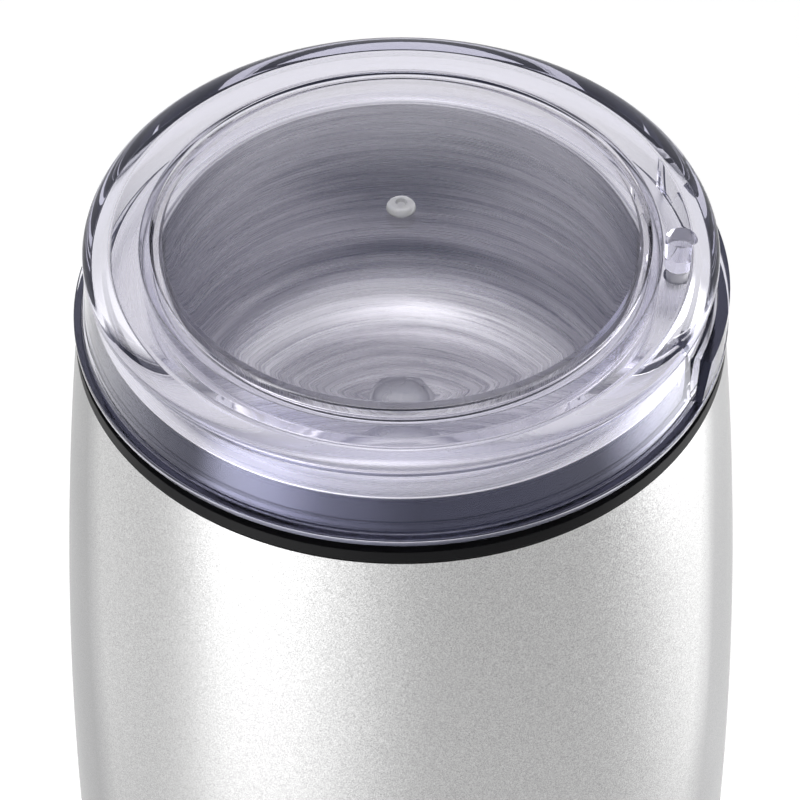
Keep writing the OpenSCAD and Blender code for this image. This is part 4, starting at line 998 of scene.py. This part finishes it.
# %% White surround
def seen_directly(tree):
    """1 for what the camera sees, also in a mirror or through glass."""
    path = add(tree, "ShaderNodeLightPath").outputs
    mirrored = maths(tree, "MAXIMUM", path["Is Glossy Ray"], path["Is Transmission Ray"])
    return maths(tree, "MAXIMUM", path["Is Camera Ray"], mirrored)


GREY_LIGHT = 0.7
world = bpy.data.worlds.new("surround")
scene.world = world
world.use_nodes = True
tree = world.node_tree
background = tree.nodes["Background"].inputs
background["Color"].default_value = (1, 1, 1, 1)
tree.links.new(spread(tree, seen_directly(tree), GREY_LIGHT, 1.0, 0.0, 1.0), background["Strength"])
print("white room, which lights matt surfaces at a strength of", GREY_LIGHT)

# %% Pale floor that keeps the shadow
FLOOR_R = 3000
floor = turn("floor", [(0, -0.4), (FLOOR_R, -0.4), (FLOOR_R, 0), (0, 0)], 64)
tree, shader = new_finish("floor_white", Roughness=0.8, Specular_IOR_Level=0.1,
                          Emission_Color=(1, 1, 1, 1))
patches = group(tree, "smudges", Scale=4.0, Low=0.0, High=1.0)["Value"]
tree.links.new(mixed(tree, patches, (0.86, 0.86, 0.86), (0.89, 0.89, 0.89)), shader["Base Color"])
tree.links.new(times(tree, seen_directly(tree), 0.31), shader["Emission Strength"])
floor.data.materials.append(finish["floor_white"])
print("floor reaches", FLOOR_R * MM, "m to each side")

# %% [markdown]
# A lamp's own edges show in clear plastic and gloss paint as hard lines. So each lamp has a small tree
# that fades its light towards its two sides and its foot. Parametric runs from 0 to 1 across the lamp.

# %% Soft lamps
def soft_lamp(name, place, target, width, height, watts, fades):
    """An area lamp that looks at the target, and fades over shares of it, from both sides and below."""
    lamp = bpy.data.lights.new(name, "AREA")
    lamp.shape, lamp.size, lamp.size_y, lamp.energy = "RECTANGLE", width, height, watts
    lamp.use_nodes = True
    tree = lamp.node_tree
    across = add(tree, "ShaderNodeNewGeometry").outputs["Parametric"]
    side, up, _ = split(tree, across)
    other_side = maths(tree, "SUBTRACT", 1.0, side)
    glow = 1.0
    for value, fade in zip((side, other_side, up), fades):
        ramp = spread(tree, value, 0.0, 1.0, 0.0, fade)
        ramp.node.interpolation_type = "SMOOTHSTEP"
        glow = times(tree, glow, ramp)
    tree.links.new(glow, tree.nodes["Emission"].inputs["Strength"])
    obj = bpy.data.objects.new(name, lamp)
    scene.collection.objects.link(obj)
    obj.location = place
    obj.rotation_euler = (Vector(target) - Vector(place)).to_track_quat("-Z", "Y").to_euler()
    obj.visible_camera = False


def around(degrees, distance, z):
    """A place round the grinder: 0 degrees is in front, 90 on the right."""
    return (distance * math.sin(math.radians(degrees)), -distance * math.cos(math.radians(degrees)), z)


TALL, SMALL = 0.19, 0.11                         # heights of the lamps for the barrel and the lid
lamps = [
    ("left_lamp", around(-28, 0.125, 0.095), (0.01, 0, 0.095), 0.18, TALL, 0.19, (0.25, 0.6, 0.12)),
    ("left_fill", around(-94, 0.12, 0.1), (0, -0.01, 0.1), 0.11, TALL, 0.022, (0.4, 0.4, 0.12)),
    ("right_lamp", around(82, 0.118, 0.092), (0, -0.02, 0.092), 0.11, TALL, 0.072, (0.65, 0.03, 0.12)),
    ("lid_left", around(-42, 0.14, 0.14), (0, 0, 0.13), 0.12, SMALL, 0.12, (0.4, 0.5, 0.3)),
    ("lid_right", around(84, 0.13, 0.14), (0, -0.01, 0.13), 0.14, SMALL, 0.19, (0.5, 0.3, 0.3)),
    ("top_lamp", (-0.1, -0.3, 1.3), (0, 0, 0.1), 1.1, 0.8, 3.5, (0.4, 0.4, 0.25)),
]
for lamp in lamps:
    soft_lamp(*lamp)

# %% [markdown]
# ## Camera
# A long lens above the front looks down through the lid into the bowl. It is far enough away for the far
# rim to look only a little smaller than the near one. The foot of the barrel lies outside the view.

# %% Camera, above the front and looking down into the bowl
LOOKING_DOWN = 44.88                             # degrees below level
camera = bpy.data.objects.new("camera", bpy.data.cameras.new("camera"))
camera.data.lens, camera.data.sensor_width = 172.04, 36.0
camera.data.clip_start, camera.data.clip_end = 0.01, 20
camera.location = (-0.00015, -0.4068, 0.5552)
camera.rotation_euler = (math.radians(90 - LOOKING_DOWN), 0, 0)
scene.collection.objects.link(camera)
scene.camera = camera
scene.view_settings.view_transform = "Standard"
print("camera with a", round(camera.data.lens), "mm lens, looking down by", LOOKING_DOWN, "degrees")
